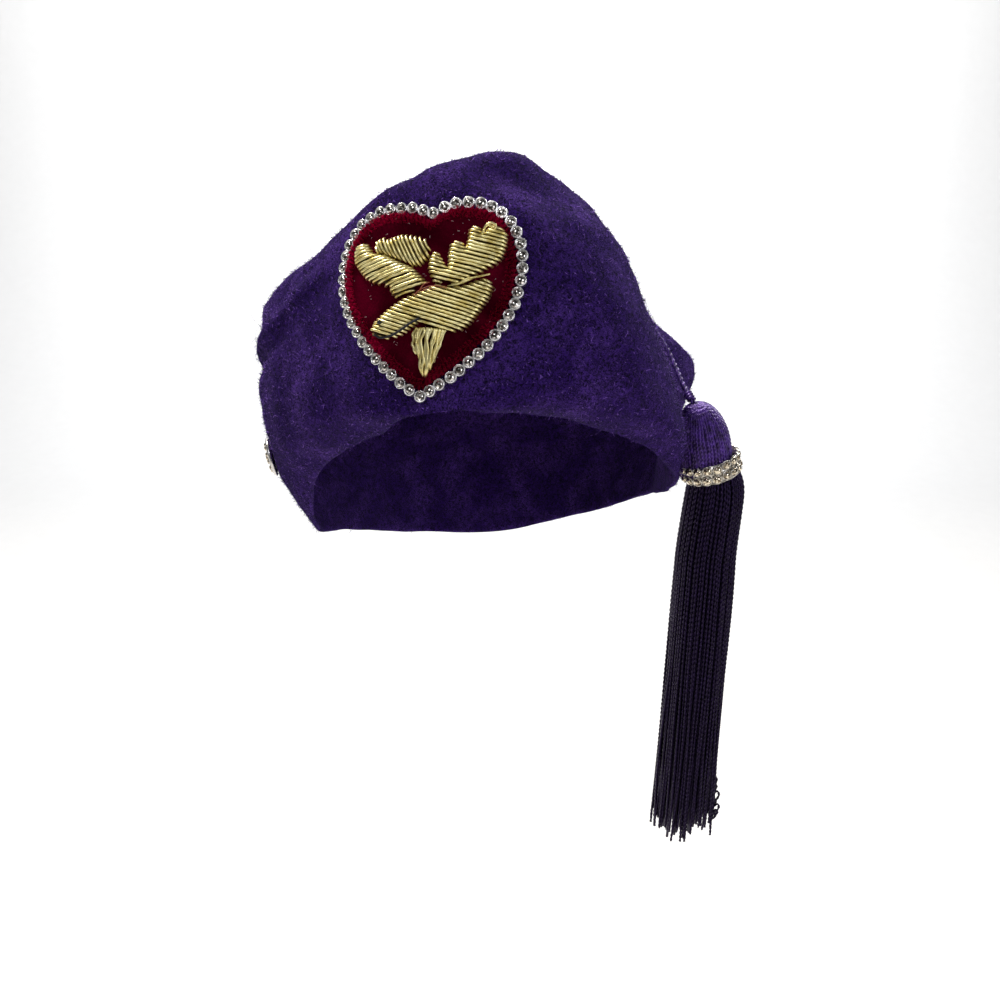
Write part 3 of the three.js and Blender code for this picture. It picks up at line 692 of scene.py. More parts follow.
class FeltForm:
    """The cap's outer face, from its reach and height at thirteen places and five levels."""

    half_width = 100.0
    half_depth = 105.0
    rise = 150.0
    thickness = 2.4
    places = np.array([0, 28, 56, 84, 99, 116, 146, 180, 214, 244, 272, 300, 330], float)
    levels = np.array([0, 0.13, 0.3, 0.5, 0.65, 0.83, 1])
    reach = np.array([
        (0.88, 1.02, 0.94, 0.8, 0.59),
        (0.86, 0.99, 0.95, 0.74, 0.49),
        (0.85, 0.85, 0.79, 0.57, 0.42),
        (0.78, 0.765, 0.77, 0.655, 0.46),
        (0.78, 0.78, 0.79, 0.69, 0.48),
        (0.84, 0.92, 1.03, 1.06, 0.9),
        (0.9, 0.99, 1.02, 0.96, 0.8),
        (0.92, 1, 1.01, 0.92, 0.74),
        (0.9, 0.99, 1.02, 0.96, 0.8),
        (0.87, 0.98, 1.03, 1, 0.88),
        (0.86, 0.97, 1.035, 1.01, 0.94),
        (0.86, 1, 1.02, 0.97, 0.83),
        (0.87, 1.02, 0.97, 0.86, 0.7),
    ])
    height = np.array([
        (0.46, 0.53, 0.72, 0.9, 1.02),
        (0.39, 0.48, 0.65, 0.86, 0.94),
        (0.22, 0.33, 0.5, 0.73, 0.85),
        (0.06, 0.18, 0.35, 0.54, 0.74),
        (-0.01, 0.12, 0.29, 0.48, 0.64),
        (-0.09, 0.06, 0.24, 0.35, 0.45),
        (-0.26, -0.06, 0.18, 0.36, 0.48),
        (-0.39, -0.14, 0.12, 0.37, 0.53),
        (-0.34, -0.1, 0.18, 0.4, 0.55),
        (-0.22, 0.02, 0.28, 0.46, 0.58),
        (-0.09, 0.07, 0.38, 0.5, 0.63),
        (0.19, 0.3, 0.49, 0.63, 0.76),
        (0.38, 0.47, 0.65, 0.83, 0.94),
    ])
    centre = np.array([0.02 * half_width, 0.16 * half_depth, 0.8 * rise])
    swell = 0.05
    folds = [
        Fold(1, 0.56, 20, 0.05, 0, -4.5),
        Fold(-60, 0.46, 18, 0.04, 0.003, 4),
        Fold(-74, 0.37, 12, 0.05, 0.003, -5),
        Fold(55, 0.13, 19, 0.06, 0, 3),
    ]

    def columns(self, around: np.ndarray) -> np.ndarray:
        """The points that each column of the felt passes through, from its rim to the centre."""
        turn = np.mod(around, 360.0)
        count = len(self.places)
        n = np.searchsorted(self.places, turn, side="right") - 1
        width = np.mod(self.places[(n + 1) % count] - self.places[n], 360.0)
        t = ((turn - self.places[n]) / width)[:, None]
        reach, height = (
            between(v[(n - 1) % count], v[n], v[(n + 1) % count], v[(n + 2) % count], t)
            for v in (self.reach, self.height)
        )
        angle = np.radians(around)[:, None]
        side = reach * self.half_width * np.sin(angle)
        back = -reach * self.half_depth * np.cos(angle)
        points = np.stack([side, back, height * self.rise], -1)
        centre = np.broadcast_to(self.centre, (len(around), 1, 3))
        top = (points[:, 4:5] + centre) / 2 + np.array([0, 0, self.swell * self.rise])
        return np.concatenate([points, top, centre], 1)

    def plain(self, around: np.ndarray, up: np.ndarray) -> np.ndarray:
        """The felt's outer face before its folds."""
        around, up = np.broadcast_arrays(np.atleast_1d(around).astype(float), np.atleast_1d(up).astype(float))
        points = self.columns(around)
        n = np.clip(np.searchsorted(self.levels[1:], up, side="left"), 0, 5)
        rows = np.arange(len(up))
        near = [points[rows, np.clip(n + k, 0, 6)] for k in (-1, 0, 1, 2)]
        t = ((up - self.levels[n]) / (self.levels[n + 1] - self.levels[n]))[:, None]
        return between(*near, t)

    def normal(self, around: np.ndarray, up: np.ndarray) -> np.ndarray:
        """The outward direction of the felt before its folds."""
        around, up = np.atleast_1d(around).astype(float), np.atleast_1d(up).astype(float)
        turn = self.plain(around + 2, up) - self.plain(around - 2, up)
        rise = self.plain(around, np.minimum(up + 0.02, 0.99)) - self.plain(around, np.maximum(up - 0.02, 0))
        return unit(np.cross(turn, rise))

    def offset(self, around: np.ndarray, up: np.ndarray) -> np.ndarray:
        """How far the folds move the felt out."""
        total = np.zeros(len(around))
        for fold in self.folds:
            across = np.mod(around - fold.around + 180, 360) - 180
            along = up - fold.up - fold.slant * across
            total += fold.out * np.exp(-((across / fold.wide) ** 2) - (along / fold.tall) ** 2)
        return total

    def face(self, around: np.ndarray, up: np.ndarray) -> np.ndarray:
        """The felt's outer face with its folds, before the patch presses on it."""
        return self.plain(around, up) + self.offset(around, up)[:, None] * self.normal(around, up)


class PatchSeat:
    """The patch's own directions on the felt: s to its right, t up and h off the felt."""

    width = 55.5
    left_share = 1.06
    tall = 58.5
    thickness = 3.0
    setting = 4.2
    bend_across = 100.0
    bend_along = 280.0
    gap = 0.3
    hold = (1.1, 1.55)

    def __init__(self, form: FeltForm, around: float = -14.6, up: float = 0.328, turn: float = 1.0) -> None:
        """Finds the seat.

        Args:
            form: The felt that it lies on.
            around: Degrees round the cap from the front.
            up: How far up the felt.
            turn: Degrees that the patch is turned by.
        """
        self.at = form.plain(around, up)[0]
        self.out = form.normal(around, up)[0]
        level = unit(np.cross([0, 0, 1], self.out))
        angle = math.radians(turn)
        self.right = level * math.cos(angle) + np.cross(self.out, level) * math.sin(angle)
        self.up = np.cross(self.out, self.right)

    def point(self, s: np.ndarray, t: np.ndarray, h: np.ndarray) -> np.ndarray:
        """Where points of the flat patch lie, in millimetres."""
        s, t, h = np.broadcast_arrays(*(np.asarray(v, float) for v in (s, t, h)))
        reach = self.bend_across + h
        angle = s / self.bend_across
        fall = reach * np.cos(angle) - self.bend_across - t**2 / (2 * self.bend_along)
        return (
            self.at
            + (reach * np.sin(angle))[..., None] * self.right
            + fall[..., None] * self.out
            + t[..., None] * self.up
        )

    def press(self, points: np.ndarray) -> np.ndarray:
        """Moves the felt to lie flat under the patch, less and less with distance from it."""
        from_seat = points - self.at
        depth, across, along = from_seat @ self.out, from_seat @ self.right, from_seat @ self.up
        away = np.hypot(across / (self.width / 2 + self.setting), along / (self.tall / 2 + self.setting))
        near = (away < self.hold[1]) & (np.abs(depth) <= self.bend_across / 2)
        bend = np.sqrt(np.maximum(self.bend_across**2 - across**2, 0)) - self.bend_across
        seat = bend - along**2 / (2 * self.bend_along) - self.gap
        x = np.clip((away - self.hold[0]) / (self.hold[1] - self.hold[0]), 0, 1)
        share = np.where(near, 1 - x * x * (3 - 2 * x), 0)
        return points + ((seat - depth) * share)[:, None] * self.out

    def frames(self, s: np.ndarray, t: np.ndarray, h: np.ndarray, ds: np.ndarray, dt: np.ndarray) -> tuple:
        """Points on the patch with their own directions: at, along the heading, across it, and out."""
        at = self.point(s, t, h)
        out = unit(self.point(s, t, h + 1) - at)
        along = self.point(s + ds, t + dt, h) - at
        along = unit(along - (along * out).sum(-1, keepdims=True) * out)
        return at, along, np.cross(out, along), out


FORM = FeltForm()
SEAT = PatchSeat(FORM)


def felt_face(around: np.ndarray, up: np.ndarray) -> np.ndarray:
    """The cap's outer face, in millimetres."""
    return SEAT.press(FORM.face(around, up))


# ---- Pieces ----


@dataclass
class Cap:
    """The felt cap and the nap on it."""

    columns: int = 144
    rows: int = 56
    lump: float = 0.55
    lump_size: float = 13.0
    fibres: int = 11500
    fibre_length: float = 2.0
    fibre_radius: float = 0.078
    cord_clearance: float = 3.6
    patch_clearance: tuple = (29.0, 31.0)
    patch_depth: float = 30.0
    nap_top: float = 0.985
    nap_pieces: int = 3
    stray_hairs: int = 240

    def surface(self, u: np.ndarray, v: np.ndarray) -> np.ndarray:
        """Points of the outer face with the small lumps that felt has."""
        around, up = u * 360, v
        points = felt_face(around, up)
        rng = np.random.default_rng(5)
        lumps = np.zeros(len(points))
        for _ in range(14):
            way = unit(rng.normal(size=3))
            length = self.lump_size * rng.uniform(0.6, 2.2)
            lumps += np.sin(points @ way * 2 * math.pi / length + rng.uniform(0, 6))
        return points + (lumps / 4 * self.lump * (1 - v**8))[:, None] * FORM.normal(around, up)

    def build(self) -> None:
        """Makes the felt shell and the nap on it."""
        bm = mapped_grid(self.columns, self.rows, self.surface)
        front = min(bm.faces, key=lambda face: face.calc_center_median().y)
        if front.normal.y > 0:
            bmesh.ops.reverse_faces(bm, faces=bm.faces)
        felt = NappedFelt("napped_wool_felt").make()
        shell = finished("felt_shell", mesh_of(bm), Slot.FELT, felt)
        wall = shell.modifiers.new("wall", "SOLIDIFY")
        wall.thickness = FORM.thickness * MM
        wall.offset = -1
        wall.use_rim = True
        soft = shell.modifiers.new("soft", "SUBSURF")
        soft.levels = soft.render_levels = 1
        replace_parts(shell, "felt_cap")
        self.nap()

    def hair(self, curl: float) -> bpy.types.Mesh:
        """One short fibre, standing on its root and bent over.

        Args:
            curl: How far its tip bends over, as a share of its length.
        """
        length, radius = self.fibre_length * MM, self.fibre_radius * MM
        bm = bmesh.new()
        bmesh.ops.create_cone(
            bm, cap_ends=True, segments=3, radius1=radius, radius2=0, depth=length,
            matrix=Matrix.Translation((0, 0, length / 2)),
        )
        geom = bm.verts[:] + bm.edges[:] + bm.faces[:]
        bmesh.ops.bisect_plane(bm, geom=geom, plane_co=(0, 0, length * 0.5), plane_no=(0, 0, 1))
        for vert in bm.verts:
            share = vert.co.z / length
            if 0.1 < share < 0.9:
                vert.co.xy *= 1.7
            vert.co.x += curl * length * share**2
        return mesh_of(bm)

    def sites(self, count: int, rng: np.random.Generator) -> tuple[np.ndarray, np.ndarray, np.ndarray]:
        """Random places spread evenly over the outer face.

        Args:
            count: How many.
            rng: Where the random numbers come from.

        Returns:
            Points, outward directions and level directions.
        """
        columns, rows = 120, 60
        around, up = np.linspace(0, 1, columns + 1), np.linspace(0, self.nap_top, rows + 1)
        u, v = np.meshgrid(around, up, indexing="ij")
        grid = self.surface(u.ravel(), v.ravel()).reshape(columns + 1, rows + 1, 3)
        side, rise = grid[1:, :-1] - grid[:-1, :-1], grid[:-1, 1:] - grid[:-1, :-1]
        area = np.linalg.norm(np.cross(side, rise), axis=-1).ravel()
        cell = rng.choice(len(area), size=count, p=area / area.sum())
        i, j = np.divmod(cell, rows)
        a, b = rng.random(count)[:, None], rng.random(count)[:, None]
        low = grid[i, j] * (1 - a) + grid[i + 1, j] * a
        high = grid[i, j + 1] * (1 - a) + grid[i + 1, j + 1] * a
        at = low * (1 - b) + high * b
        level = unit(grid[i + 1, j] - grid[i, j])
        out = unit(np.cross(grid[i + 1, j] - grid[i, j], grid[i, j + 1] - grid[i, j]))
        from_seat = at - SEAT.at
        wide, tall = self.patch_clearance
        away = np.hypot(from_seat @ SEAT.right / wide, from_seat @ SEAT.up / tall)
        free = (away > 1) | (from_seat @ SEAT.out < -self.patch_depth)
        cord = smooth_line(np.array(Cord.route, float), 2.0)
        free &= np.linalg.norm(at[:, None] - cord, axis=-1).min(1) > self.cord_clearance
        return at[free], out[free], level[free]

    def nap(self) -> None:
        """Makes the short fibres and the stray hairs."""
        wool = WoolFibre("wool_fibre_dye_and_painted_glint").make()
        curls = [self.hair(curl) for curl in (-0.35, 0.1, 0.45, 0.8)]
        for n in range(self.nap_pieces):
            rng = np.random.default_rng(40 + n)
            at, out, level = self.sites(self.fibres, rng)
            count = len(at)
            flat = swung(level, np.cross(out, level), rng.uniform(0, 2 * math.pi, count))
            z = swung(flat, out, np.radians(rng.uniform(2, 26, count)))
            y = unit(np.cross(z, out))
            x = np.cross(y, z)
            places = places_of(at - 0.15 * out, x, y, z, rng.uniform(0.55, 1.35, count))
            kind = rng.integers(0, len(curls), count)
            mesh = repeated([(hair, places[kind == k]) for k, hair in enumerate(curls)])
            finished(f"felt_nap_{n + 1}", mesh, Slot.FELT, wool)
        rng = np.random.default_rng(77)
        at, out, level = self.sites(self.stray_hairs, rng)
        paths = []
        for point, away, flat in zip(at, out, level):
            length = rng.uniform(4, 11)
            turn = rng.uniform(0, 2 * math.pi)
            way = flat * math.cos(turn) + np.cross(away, flat) * math.sin(turn)
            bend = np.cross(away, way) * rng.uniform(-0.7, 0.7)
            t = np.linspace(0, 1, 7)[:, None]
            lift = np.sin(t * math.pi * rng.uniform(0.5, 1.0)) * rng.uniform(0.08, 0.3)
            paths.append(point + length * (way * t + bend * t**2 + away * lift))
        finished("felt_stray_hairs", drawn(paths, Yarn(0.11, 0, 4)), Slot.FELT, wool)


def heart_outline(count: int) -> np.ndarray:
    """The patch's flat outline in millimetres: two lobes, the left one lower, and a point below."""
    left = -SEAT.left_share
    arcs = [
        ((0, -0.5), (0.42, -0.36), (1, -0.14), (1, 0.16)),
        ((1, 0.16), (1, 0.38), (0.76, 0.5), (0.45, 0.5)),
        ((0.45, 0.5), (0.24, 0.5), (0.09, 0.46), (0, 0.41)),
        ((0, 0.41), (0.09 * left, 0.445), (0.24 * left, 0.465), (0.45 * left, 0.46)),
        ((0.45 * left, 0.46), (0.76 * left, 0.453), (left, 0.34), (left, 0.15)),
        ((left, 0.15), (left, -0.14), (0.42 * left, -0.36), (0, -0.5)),
    ]
    t = np.linspace(0, 1, 60, endpoint=False)[:, None]
    line = np.vstack([
        (1 - t) ** 3 * a + 3 * (1 - t) ** 2 * t * b + 3 * (1 - t) * t**2 * c + t**3 * d
        for a, b, c, d in (np.array(arc) for arc in arcs)
    ])
    return resampled(line * (SEAT.width / 2, SEAT.tall), count, closed=True)


@dataclass
class HeartPatch:
    """The velvet heart with its pile, and the chain of set stones round it."""

    sides: int = 120
    settings: int = 50
    cup_radius: float = 2.02
    cup_height: float = 2.7
    stone_radius: float = 1.5
    pile_hairs: int = 7500
    specks: int = 80
    profile: tuple = (
        (0, 0), (0.5, 0), (1, 0), (1.004, 0.3), (1.004, 0.6), (0.992, 0.85), (0.97, 0.99),
        (0.93, 1.07), (0.86, 1.11), (0.7, 1.14), (0.5, 1.15), (0.25, 1.15), (0, 1.15),
    )

    def build(self) -> None:
        """Makes the patch, its pile, the lint on it, the cups and the stones."""
        velvet = CottonVelvet("burgundy_cotton_velvet").make()
        outline = heart_outline(self.sides)
        shares, heights = np.array(self.profile).T

        def place(u: np.ndarray, v: np.ndarray) -> np.ndarray:
            ring = np.rint(v * (len(shares) - 1)).astype(int)
            edge = outline[np.rint(u * self.sides).astype(int) % self.sides] * shares[ring][:, None]
            return SEAT.point(edge[:, 0], edge[:, 1], heights[ring] * SEAT.thickness)

        bm = mapped_grid(self.sides, len(shares) - 1, place)
        heart = finished("velvet_heart", mesh_of(bm), Slot.VELVET, velvet)
        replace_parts(heart, "heart_patch")
        self.pile(outline)
        self.lint(outline)
        self.chain()

    def pile(self, outline: np.ndarray) -> None:
        """Makes the pile that stands up at the heart's edge, where it shows against the cups, in a lighter,
        redder copy of the velvet that paints the sheen of pile seen aslant.
        """
        # Painted sheen: the edge pile gets brighter reds than the velvet it belongs to.
        lit_pile_copy = CottonVelvet("burgundy_velvet_pile_painted_sheen", "#6e0420", "#d4124c").make()
        rng = np.random.default_rng(12)
        bm = bmesh.new()
        bmesh.ops.create_cone(
            bm, cap_ends=True, segments=3, radius1=0.1 * MM, radius2=0.04 * MM, depth=1.5 * MM,
            matrix=Matrix.Translation((0, 0, 0.6 * MM)),
        )
        tuft = mesh_of(bm)
        pick = rng.integers(0, len(outline), self.pile_hairs)
        share = 1 - 0.1 * rng.random(self.pile_hairs) ** 1.5
        shares, heights = np.array(self.profile).T
        height = np.interp(share, shares[:1:-1], heights[:1:-1]) * SEAT.thickness
        spot = outline[pick] * share[:, None] + rng.normal(0, 0.25, (self.pile_hairs, 2))
        at, x, _, out = SEAT.frames(spot[:, 0], spot[:, 1], height - 0.1, *np.array([[1.0], [0.0]]))
        centre = unit(at - SEAT.at)
        splay = np.clip((share - 0.92) / 0.08, 0, 1)[:, None]
        z = unit(out + centre * splay * 0.8 + rng.normal(0, 0.25, at.shape))
        y = unit(np.cross(z, x))
        mesh = repeated([(tuft, places_of(at, np.cross(y, z), y, z, rng.uniform(0.6, 1.2, len(at))))])
        finished("velvet_pile", mesh, Slot.VELVET, lit_pile_copy)

    def lint(self, outline: np.ndarray) -> None:
        """Makes the pale specks of lint that have caught in the velvet."""
        rng = np.random.default_rng(19)
        pick = rng.integers(0, len(outline), self.specks)
        spot = outline[pick] * np.sqrt(rng.random((self.specks, 1))) * 0.95
        at, x, y, out = SEAT.frames(spot[:, 0], spot[:, 1], SEAT.thickness * 1.16, *np.array([[1.0], [0.0]]))
        way = swung(x, y, rng.uniform(0, 2 * math.pi, self.specks))
        half = way * rng.uniform(0.1, 0.45, (self.specks, 1))
        paths = [np.array([p - h, p + o * 0.12, p + h]) for p, h, o in zip(at, half, out)]
        grey = PlainDye("pale_lint_fibre", "#c9b4b0", "#8f6a68", 0.9, 2.0).make()
        finished("velvet_lint", drawn(paths, Yarn(0.16, 0, 4)), Slot.VELVET, grey)

    def chain(self) -> None:
        """Makes the cups and their stones, side by side round the patch."""
        outline = heart_outline(400)
        ahead = unit(np.roll(outline, -1, 0) - np.roll(outline, 1, 0))
        clear = SEAT.setting / 2 + SEAT.gap
        beside = outline + clear * np.stack([ahead[:, 1], -ahead[:, 0]], -1)
        nearest = np.linalg.norm(beside[:, None] - outline[None], axis=-1).min(1)
        line = beside[nearest > 0.97 * clear]
        spots = resampled(line, self.settings, closed=True)
        way = unit(np.roll(spots, -1, 0) - np.roll(spots, 1, 0))
        at, x, _, out = SEAT.frames(spots[:, 0], spots[:, 1], 0.0, way[:, 0], way[:, 1])
        rng = np.random.default_rng(3)
        out = unit(out + rng.normal(0, 0.05, at.shape))
        x = unit(x - (x * out).sum(-1, keepdims=True) * out)
        places = places_of(at, x, np.cross(out, x), out)
        silver = PlatedMetal("silver_plated_brass", "#fffefc", "#e2dfdc", 0.26).make()
        stone = FoiledStone("foiled_clear_crystal", "#f0e9e0", "#3f352d").make()
        r, top = self.cup_radius, self.cup_height
        cup = turned(
            [(0, 0), (r * 0.93, 0), (r, 0.25), (r, top - 0.6), (r * 0.98, top - 0.25), (r * 0.92, top - 0.05),
             (r * 0.85, top), (r * 0.79, top - 0.08), (r * 0.75, top - 0.4), (0, top - 0.5)], 20)
        cups = finished("trim_cups", repeated([(cup, places)]), Slot.SETTINGS, silver)
        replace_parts(cups, "stone_trim")
        gem = cut_stone(self.stone_radius, 0.75, top - 0.5)
        finished("trim_stones", repeated([(gem, places)]), Slot.SETTINGS, stone, smooth=False)


def cut_stone(radius: float, rise: float, base: float) -> bpy.types.Mesh:
    """A small cut stone: a girdle, a crown of kite facets and a flat table.

    Args:
        radius: Of its girdle, in millimetres.
        rise: From the girdle to the table.
        base: The girdle's height.

    Returns:
        The stone, standing on Z.
    """
    bm = bmesh.new()
    rings = []
    for share, up, turn, capped in (
        (1.0, 0.0, 0.0, True), (0.8, 0.55, math.pi / 8, False), (0.58, 1.0, 0.0, True)
    ):
        matrix = Matrix.Translation((0, 0, (base + rise * up) * MM)) @ Matrix.Rotation(turn, 4, "Z")
        made = bmesh.ops.create_circle(
            bm, cap_ends=capped, segments=8, radius=radius * share * MM, matrix=matrix
        )
        rings.append(made["verts"])
    for low, high in zip(rings, rings[1:]):
        edges = {edge for vert in (*low, *high) for edge in vert.link_edges}
        sides = [[e for e in edges if e.verts[0] in ring and e.verts[1] in ring] for ring in (low, high)]
        bmesh.ops.bridge_loops(bm, edges=[*sides[0], *sides[1]])
    bmesh.ops.triangulate(bm, faces=[face for face in bm.faces if len(face.verts) == 4])
    bmesh.ops.recalc_face_normals(bm, faces=bm.faces)
    return mesh_of(bm)


@dataclass(frozen=True)
class GoldPad:
    """A padded shape of the bird: its outline in shares of the bird's span and its wires' heading."""

    node: str
    heading: float
    outline: tuple


PADS = (
    GoldPad("bird_body", -14, (
        (-0.346, -0.234), (-0.31, -0.163), (-0.214, -0.078), (-0.121, -0.013), (0.006, 0.045), (0.077, 0.076),
        (0.196, 0.066), (0.257, 0.079), (0.324, 0.116), (0.376, 0.129), (0.422, 0.099), (0.414, 0.035),
        (0.381, -0.036), (0.341, -0.102), (0.294, -0.165), (0.244, -0.203), (0.171, -0.213), (0.098, -0.199),
        (0.023, -0.174), (-0.014, -0.157), (-0.069, -0.205), (-0.133, -0.249), (-0.2, -0.271), (-0.271, -0.265),
    )),
    GoldPad("bird_left_wing", 21, (
        (-0.453, 0.341), (-0.494, 0.319), (-0.504, 0.267), (-0.492, 0.207), (-0.446, 0.149), (-0.396, 0.101),
        (-0.341, 0.075), (-0.287, 0.064), (-0.226, 0.059), (-0.218, 0.022), (-0.181, -0.01), (-0.122, 0.006),
        (-0.068, 0.034), (0.012, 0.092), (-0.038, 0.136), (-0.08, 0.174), (-0.14, 0.2), (-0.203, 0.223),
        (-0.277, 0.259), (-0.361, 0.265), (-0.391, 0.295), (-0.41, 0.329),
    )),
    GoldPad("bird_upper_feathers", -60, (
        (-0.357, 0.327), (-0.339, 0.359), (-0.304, 0.372), (-0.256, 0.357), (-0.219, 0.376), (-0.18, 0.389),
        (-0.122, 0.384), (-0.062, 0.373), (-0.014, 0.356), (0.013, 0.314), (0.015, 0.259), (-0.009, 0.213),
        (-0.044, 0.193), (-0.093, 0.198), (-0.152, 0.223), (-0.224, 0.248), (-0.299, 0.273), (-0.341, 0.278),
    )),
    GoldPad("bird_right_wing", -10, (
        (0.059, 0.094), (0.037, 0.129), (0.017, 0.176), (0.018, 0.231), (0.042, 0.275), (0.074, 0.27),
        (0.101, 0.223), (0.133, 0.181), (0.145, 0.189), (0.136, 0.263), (0.143, 0.327), (0.169, 0.355),
        (0.214, 0.343), (0.238, 0.309), (0.245, 0.368), (0.246, 0.425), (0.271, 0.449), (0.307, 0.445),
        (0.336, 0.407), (0.356, 0.441), (0.387, 0.47), (0.437, 0.45), (0.475, 0.427), (0.483, 0.367),
        (0.478, 0.31), (0.457, 0.248), (0.412, 0.209), (0.363, 0.177), (0.308, 0.147), (0.245, 0.106),
        (0.194, 0.09), (0.131, 0.095),
    )),
)


@dataclass
class Bird:
    """The gold-work bird: wires laid side by side over padding, and a tail of loose wires."""

    span: float = 51.0
    wire: float = 0.95
    pitch: float = 1.2
    padding: float = 2.3
    shoulder: float = 2.5
    top: float = 3.45
    tail_wires: int = 13
    shortest: float = 1.2

    def laid(self, line: tuple, step: float) -> np.ndarray:
        """A smooth line over the patch, through points given in shares of the span and millimetres up."""
        s, t, h = np.array(line).T
        return smooth_line(SEAT.point(s * self.span, t * self.span, self.top + h), step)

    def rise(self, spots: np.ndarray, outline: np.ndarray) -> np.ndarray:
        """How high the padding is at places inside an outline.

        Args:
            spots: Places, in millimetres on the flat patch.
            outline: The pad's outline, in the same.

        Returns:
            Heights over the velvet.
        """
        a, b = outline, np.roll(outline, -1, 0)
        run = b - a
        share = np.clip(((spots[:, None] - a) * run).sum(-1) / (run**2).sum(-1), 0, 1)
        edge = np.linalg.norm(spots[:, None] - (a + share[..., None] * run), axis=-1).min(1)
        slope = 1 - np.clip(edge / self.shoulder, 0, 1)
        return self.padding * np.sqrt(1 - slope**2)

    def wires(self, pad: GoldPad, rng: np.random.Generator) -> list[np.ndarray]:
        """The wires of one pad, side by side, as points in millimetres."""
        outline = np.array(pad.outline) * self.span
        angle = math.radians(pad.heading)
        turn = np.array([[math.cos(angle), math.sin(angle)], [-math.sin(angle), math.cos(angle)]])
        flat = resampled(outline, 160, closed=True) @ turn.T
        ends = np.roll(flat, -1, 0)
        paths = []
        for level in np.arange(flat[:, 1].min() + self.pitch * 0.35, flat[:, 1].max(), self.pitch):
            cross = (flat[:, 1] > level) != (ends[:, 1] > level)
            a, b = flat[cross], ends[cross]
            hits = np.sort(a[:, 0] + (level - a[:, 1]) / (b[:, 1] - a[:, 1]) * (b[:, 0] - a[:, 0]))
            for low, high in zip(hits[::2], hits[1::2]):
                if high - low < self.shortest:
                    continue
                low, high = low - rng.uniform(0, 0.35), high + rng.uniform(0, 0.35)
                count = max(9, round((high - low) / 0.7))
                run = 0.5 - 0.5 * np.cos(np.linspace(0, math.pi, count))
                run = 0.6 * run + 0.4 * np.linspace(0, 1, count)
                x = low + (high - low) * run
                y = level + 0.1 * rng.normal() * np.sin(np.pi * run) + 0.04 * rng.normal(size=count)
                spots = np.stack([x, y], -1) @ turn
                inside = np.clip(np.minimum(x - low, high - x) / 0.5, 0, 1)
                dip = 0.35 * (1 - np.clip(np.minimum(x - low, high - x) / 0.9, 0, 1))
                h = self.top + self.rise(spots, outline) * inside - dip + rng.uniform(-0.08, 0.08)
                paths.append(SEAT.point(spots[:, 0], spots[:, 1], h))
        return paths

    def padding_mesh(self, pad: GoldPad) -> bpy.types.Mesh:
        """The yellow felt padding under a pad's wires. Its material is dark brown, painted shade for the gaps
        between the wires.
        """
        outline = np.array(pad.outline) * self.span
        low, high = outline.min(0), outline.max(0)
        cells = np.ceil((high - low) / 0.8).astype(int)
        bm = bmesh.new()
        bmesh.ops.create_grid(bm, x_segments=int(cells[0]), y_segments=int(cells[1]), size=0.5)
        spots = np.array([(vert.co.x + 0.5, vert.co.y + 0.5) for vert in bm.verts]) * (high - low) + low
        h = self.rise(spots, outline)
        a, b = outline, np.roll(outline, -1, 0)
        above = (a[None, :, 1] > spots[:, None, 1]) != (b[None, :, 1] > spots[:, None, 1])
        step = np.where(b[:, 1] == a[:, 1], 1e-9, b[:, 1] - a[:, 1])
        cut = a[:, 0] + (spots[:, None, 1] - a[:, 1]) / step * (b[:, 0] - a[:, 0])
        inside = ((above & (spots[:, None, 0] < cut)).sum(1) % 2 == 1) & (h > 0.95)
        drop = [vert for vert, keep in zip(bm.verts, inside) if not keep]
        kept = [(spot, lift) for spot, lift, keep in zip(spots, h, inside) if keep]
        bmesh.ops.delete(bm, geom=drop, context="VERTS")
        for vert, (spot, lift) in zip(bm.verts, kept):
            vert.co = (spot[0], spot[1], lift)
        loose = [vert for vert in bm.verts if not vert.link_faces]
        bmesh.ops.delete(bm, geom=loose, context="VERTS")
        upper = bm.verts[:]
        bmesh.ops.extrude_face_region(bm, geom=bm.faces[:], use_keep_orig=True)
        known = set(upper)
        for vert in bm.verts:
            if vert not in known:
                vert.co.z = 0
        bmesh.ops.recalc_face_normals(bm, faces=bm.faces)
        points = np.array([vert.co for vert in bm.verts])
        height = self.top - 0.5 + np.maximum(points[:, 2] - 0.25, 0)
        for vert, point in zip(bm.verts, SEAT.point(points[:, 0], points[:, 1], height) * MM):
            vert.co = point
        return mesh_of(bm)

    def tail(self, rng: np.random.Generator) -> list[np.ndarray]:
        """The tail's loose wires, from under the body down to its tip."""
        rows = np.array([
            (-0.2, -0.035, 0.165), (-0.25, -0.055, 0.15), (-0.3, -0.05, 0.135), (-0.345, -0.03, 0.12),
            (-0.4, -0.015, 0.1), (-0.45, -0.008, 0.082), (-0.5, 0.02, 0.052),
        ]) * self.span
        paths = []
        for n in range(self.tail_wires):
            share = (n + 0.5) / self.tail_wires
            last = rng.uniform(0.82, 1.0) if 2 < n < 11 else rng.uniform(0.5, 0.8)
            want = np.linspace(0, last, 9)
            row = np.stack([np.interp(want, np.linspace(0, 1, len(rows)), rows[:, k]) for k in range(3)], -1)
            drift = np.clip(share + rng.normal(0, 0.05) * want * 2, 0.02, 0.98)
            s = row[:, 1] + (row[:, 2] - row[:, 1]) * drift + rng.normal(0, 0.16, 9)
            h = self.top + 0.4 + 1.5 * np.sin(np.pi * np.clip(drift, 0, 1)) * (1 - 0.6 * want)
            h += rng.uniform(0, 0.7) * np.sin(np.pi * want)
            h[-1] = self.top
            paths.append(smooth_line(SEAT.point(s, row[:, 0], h), 0.7))
        return paths

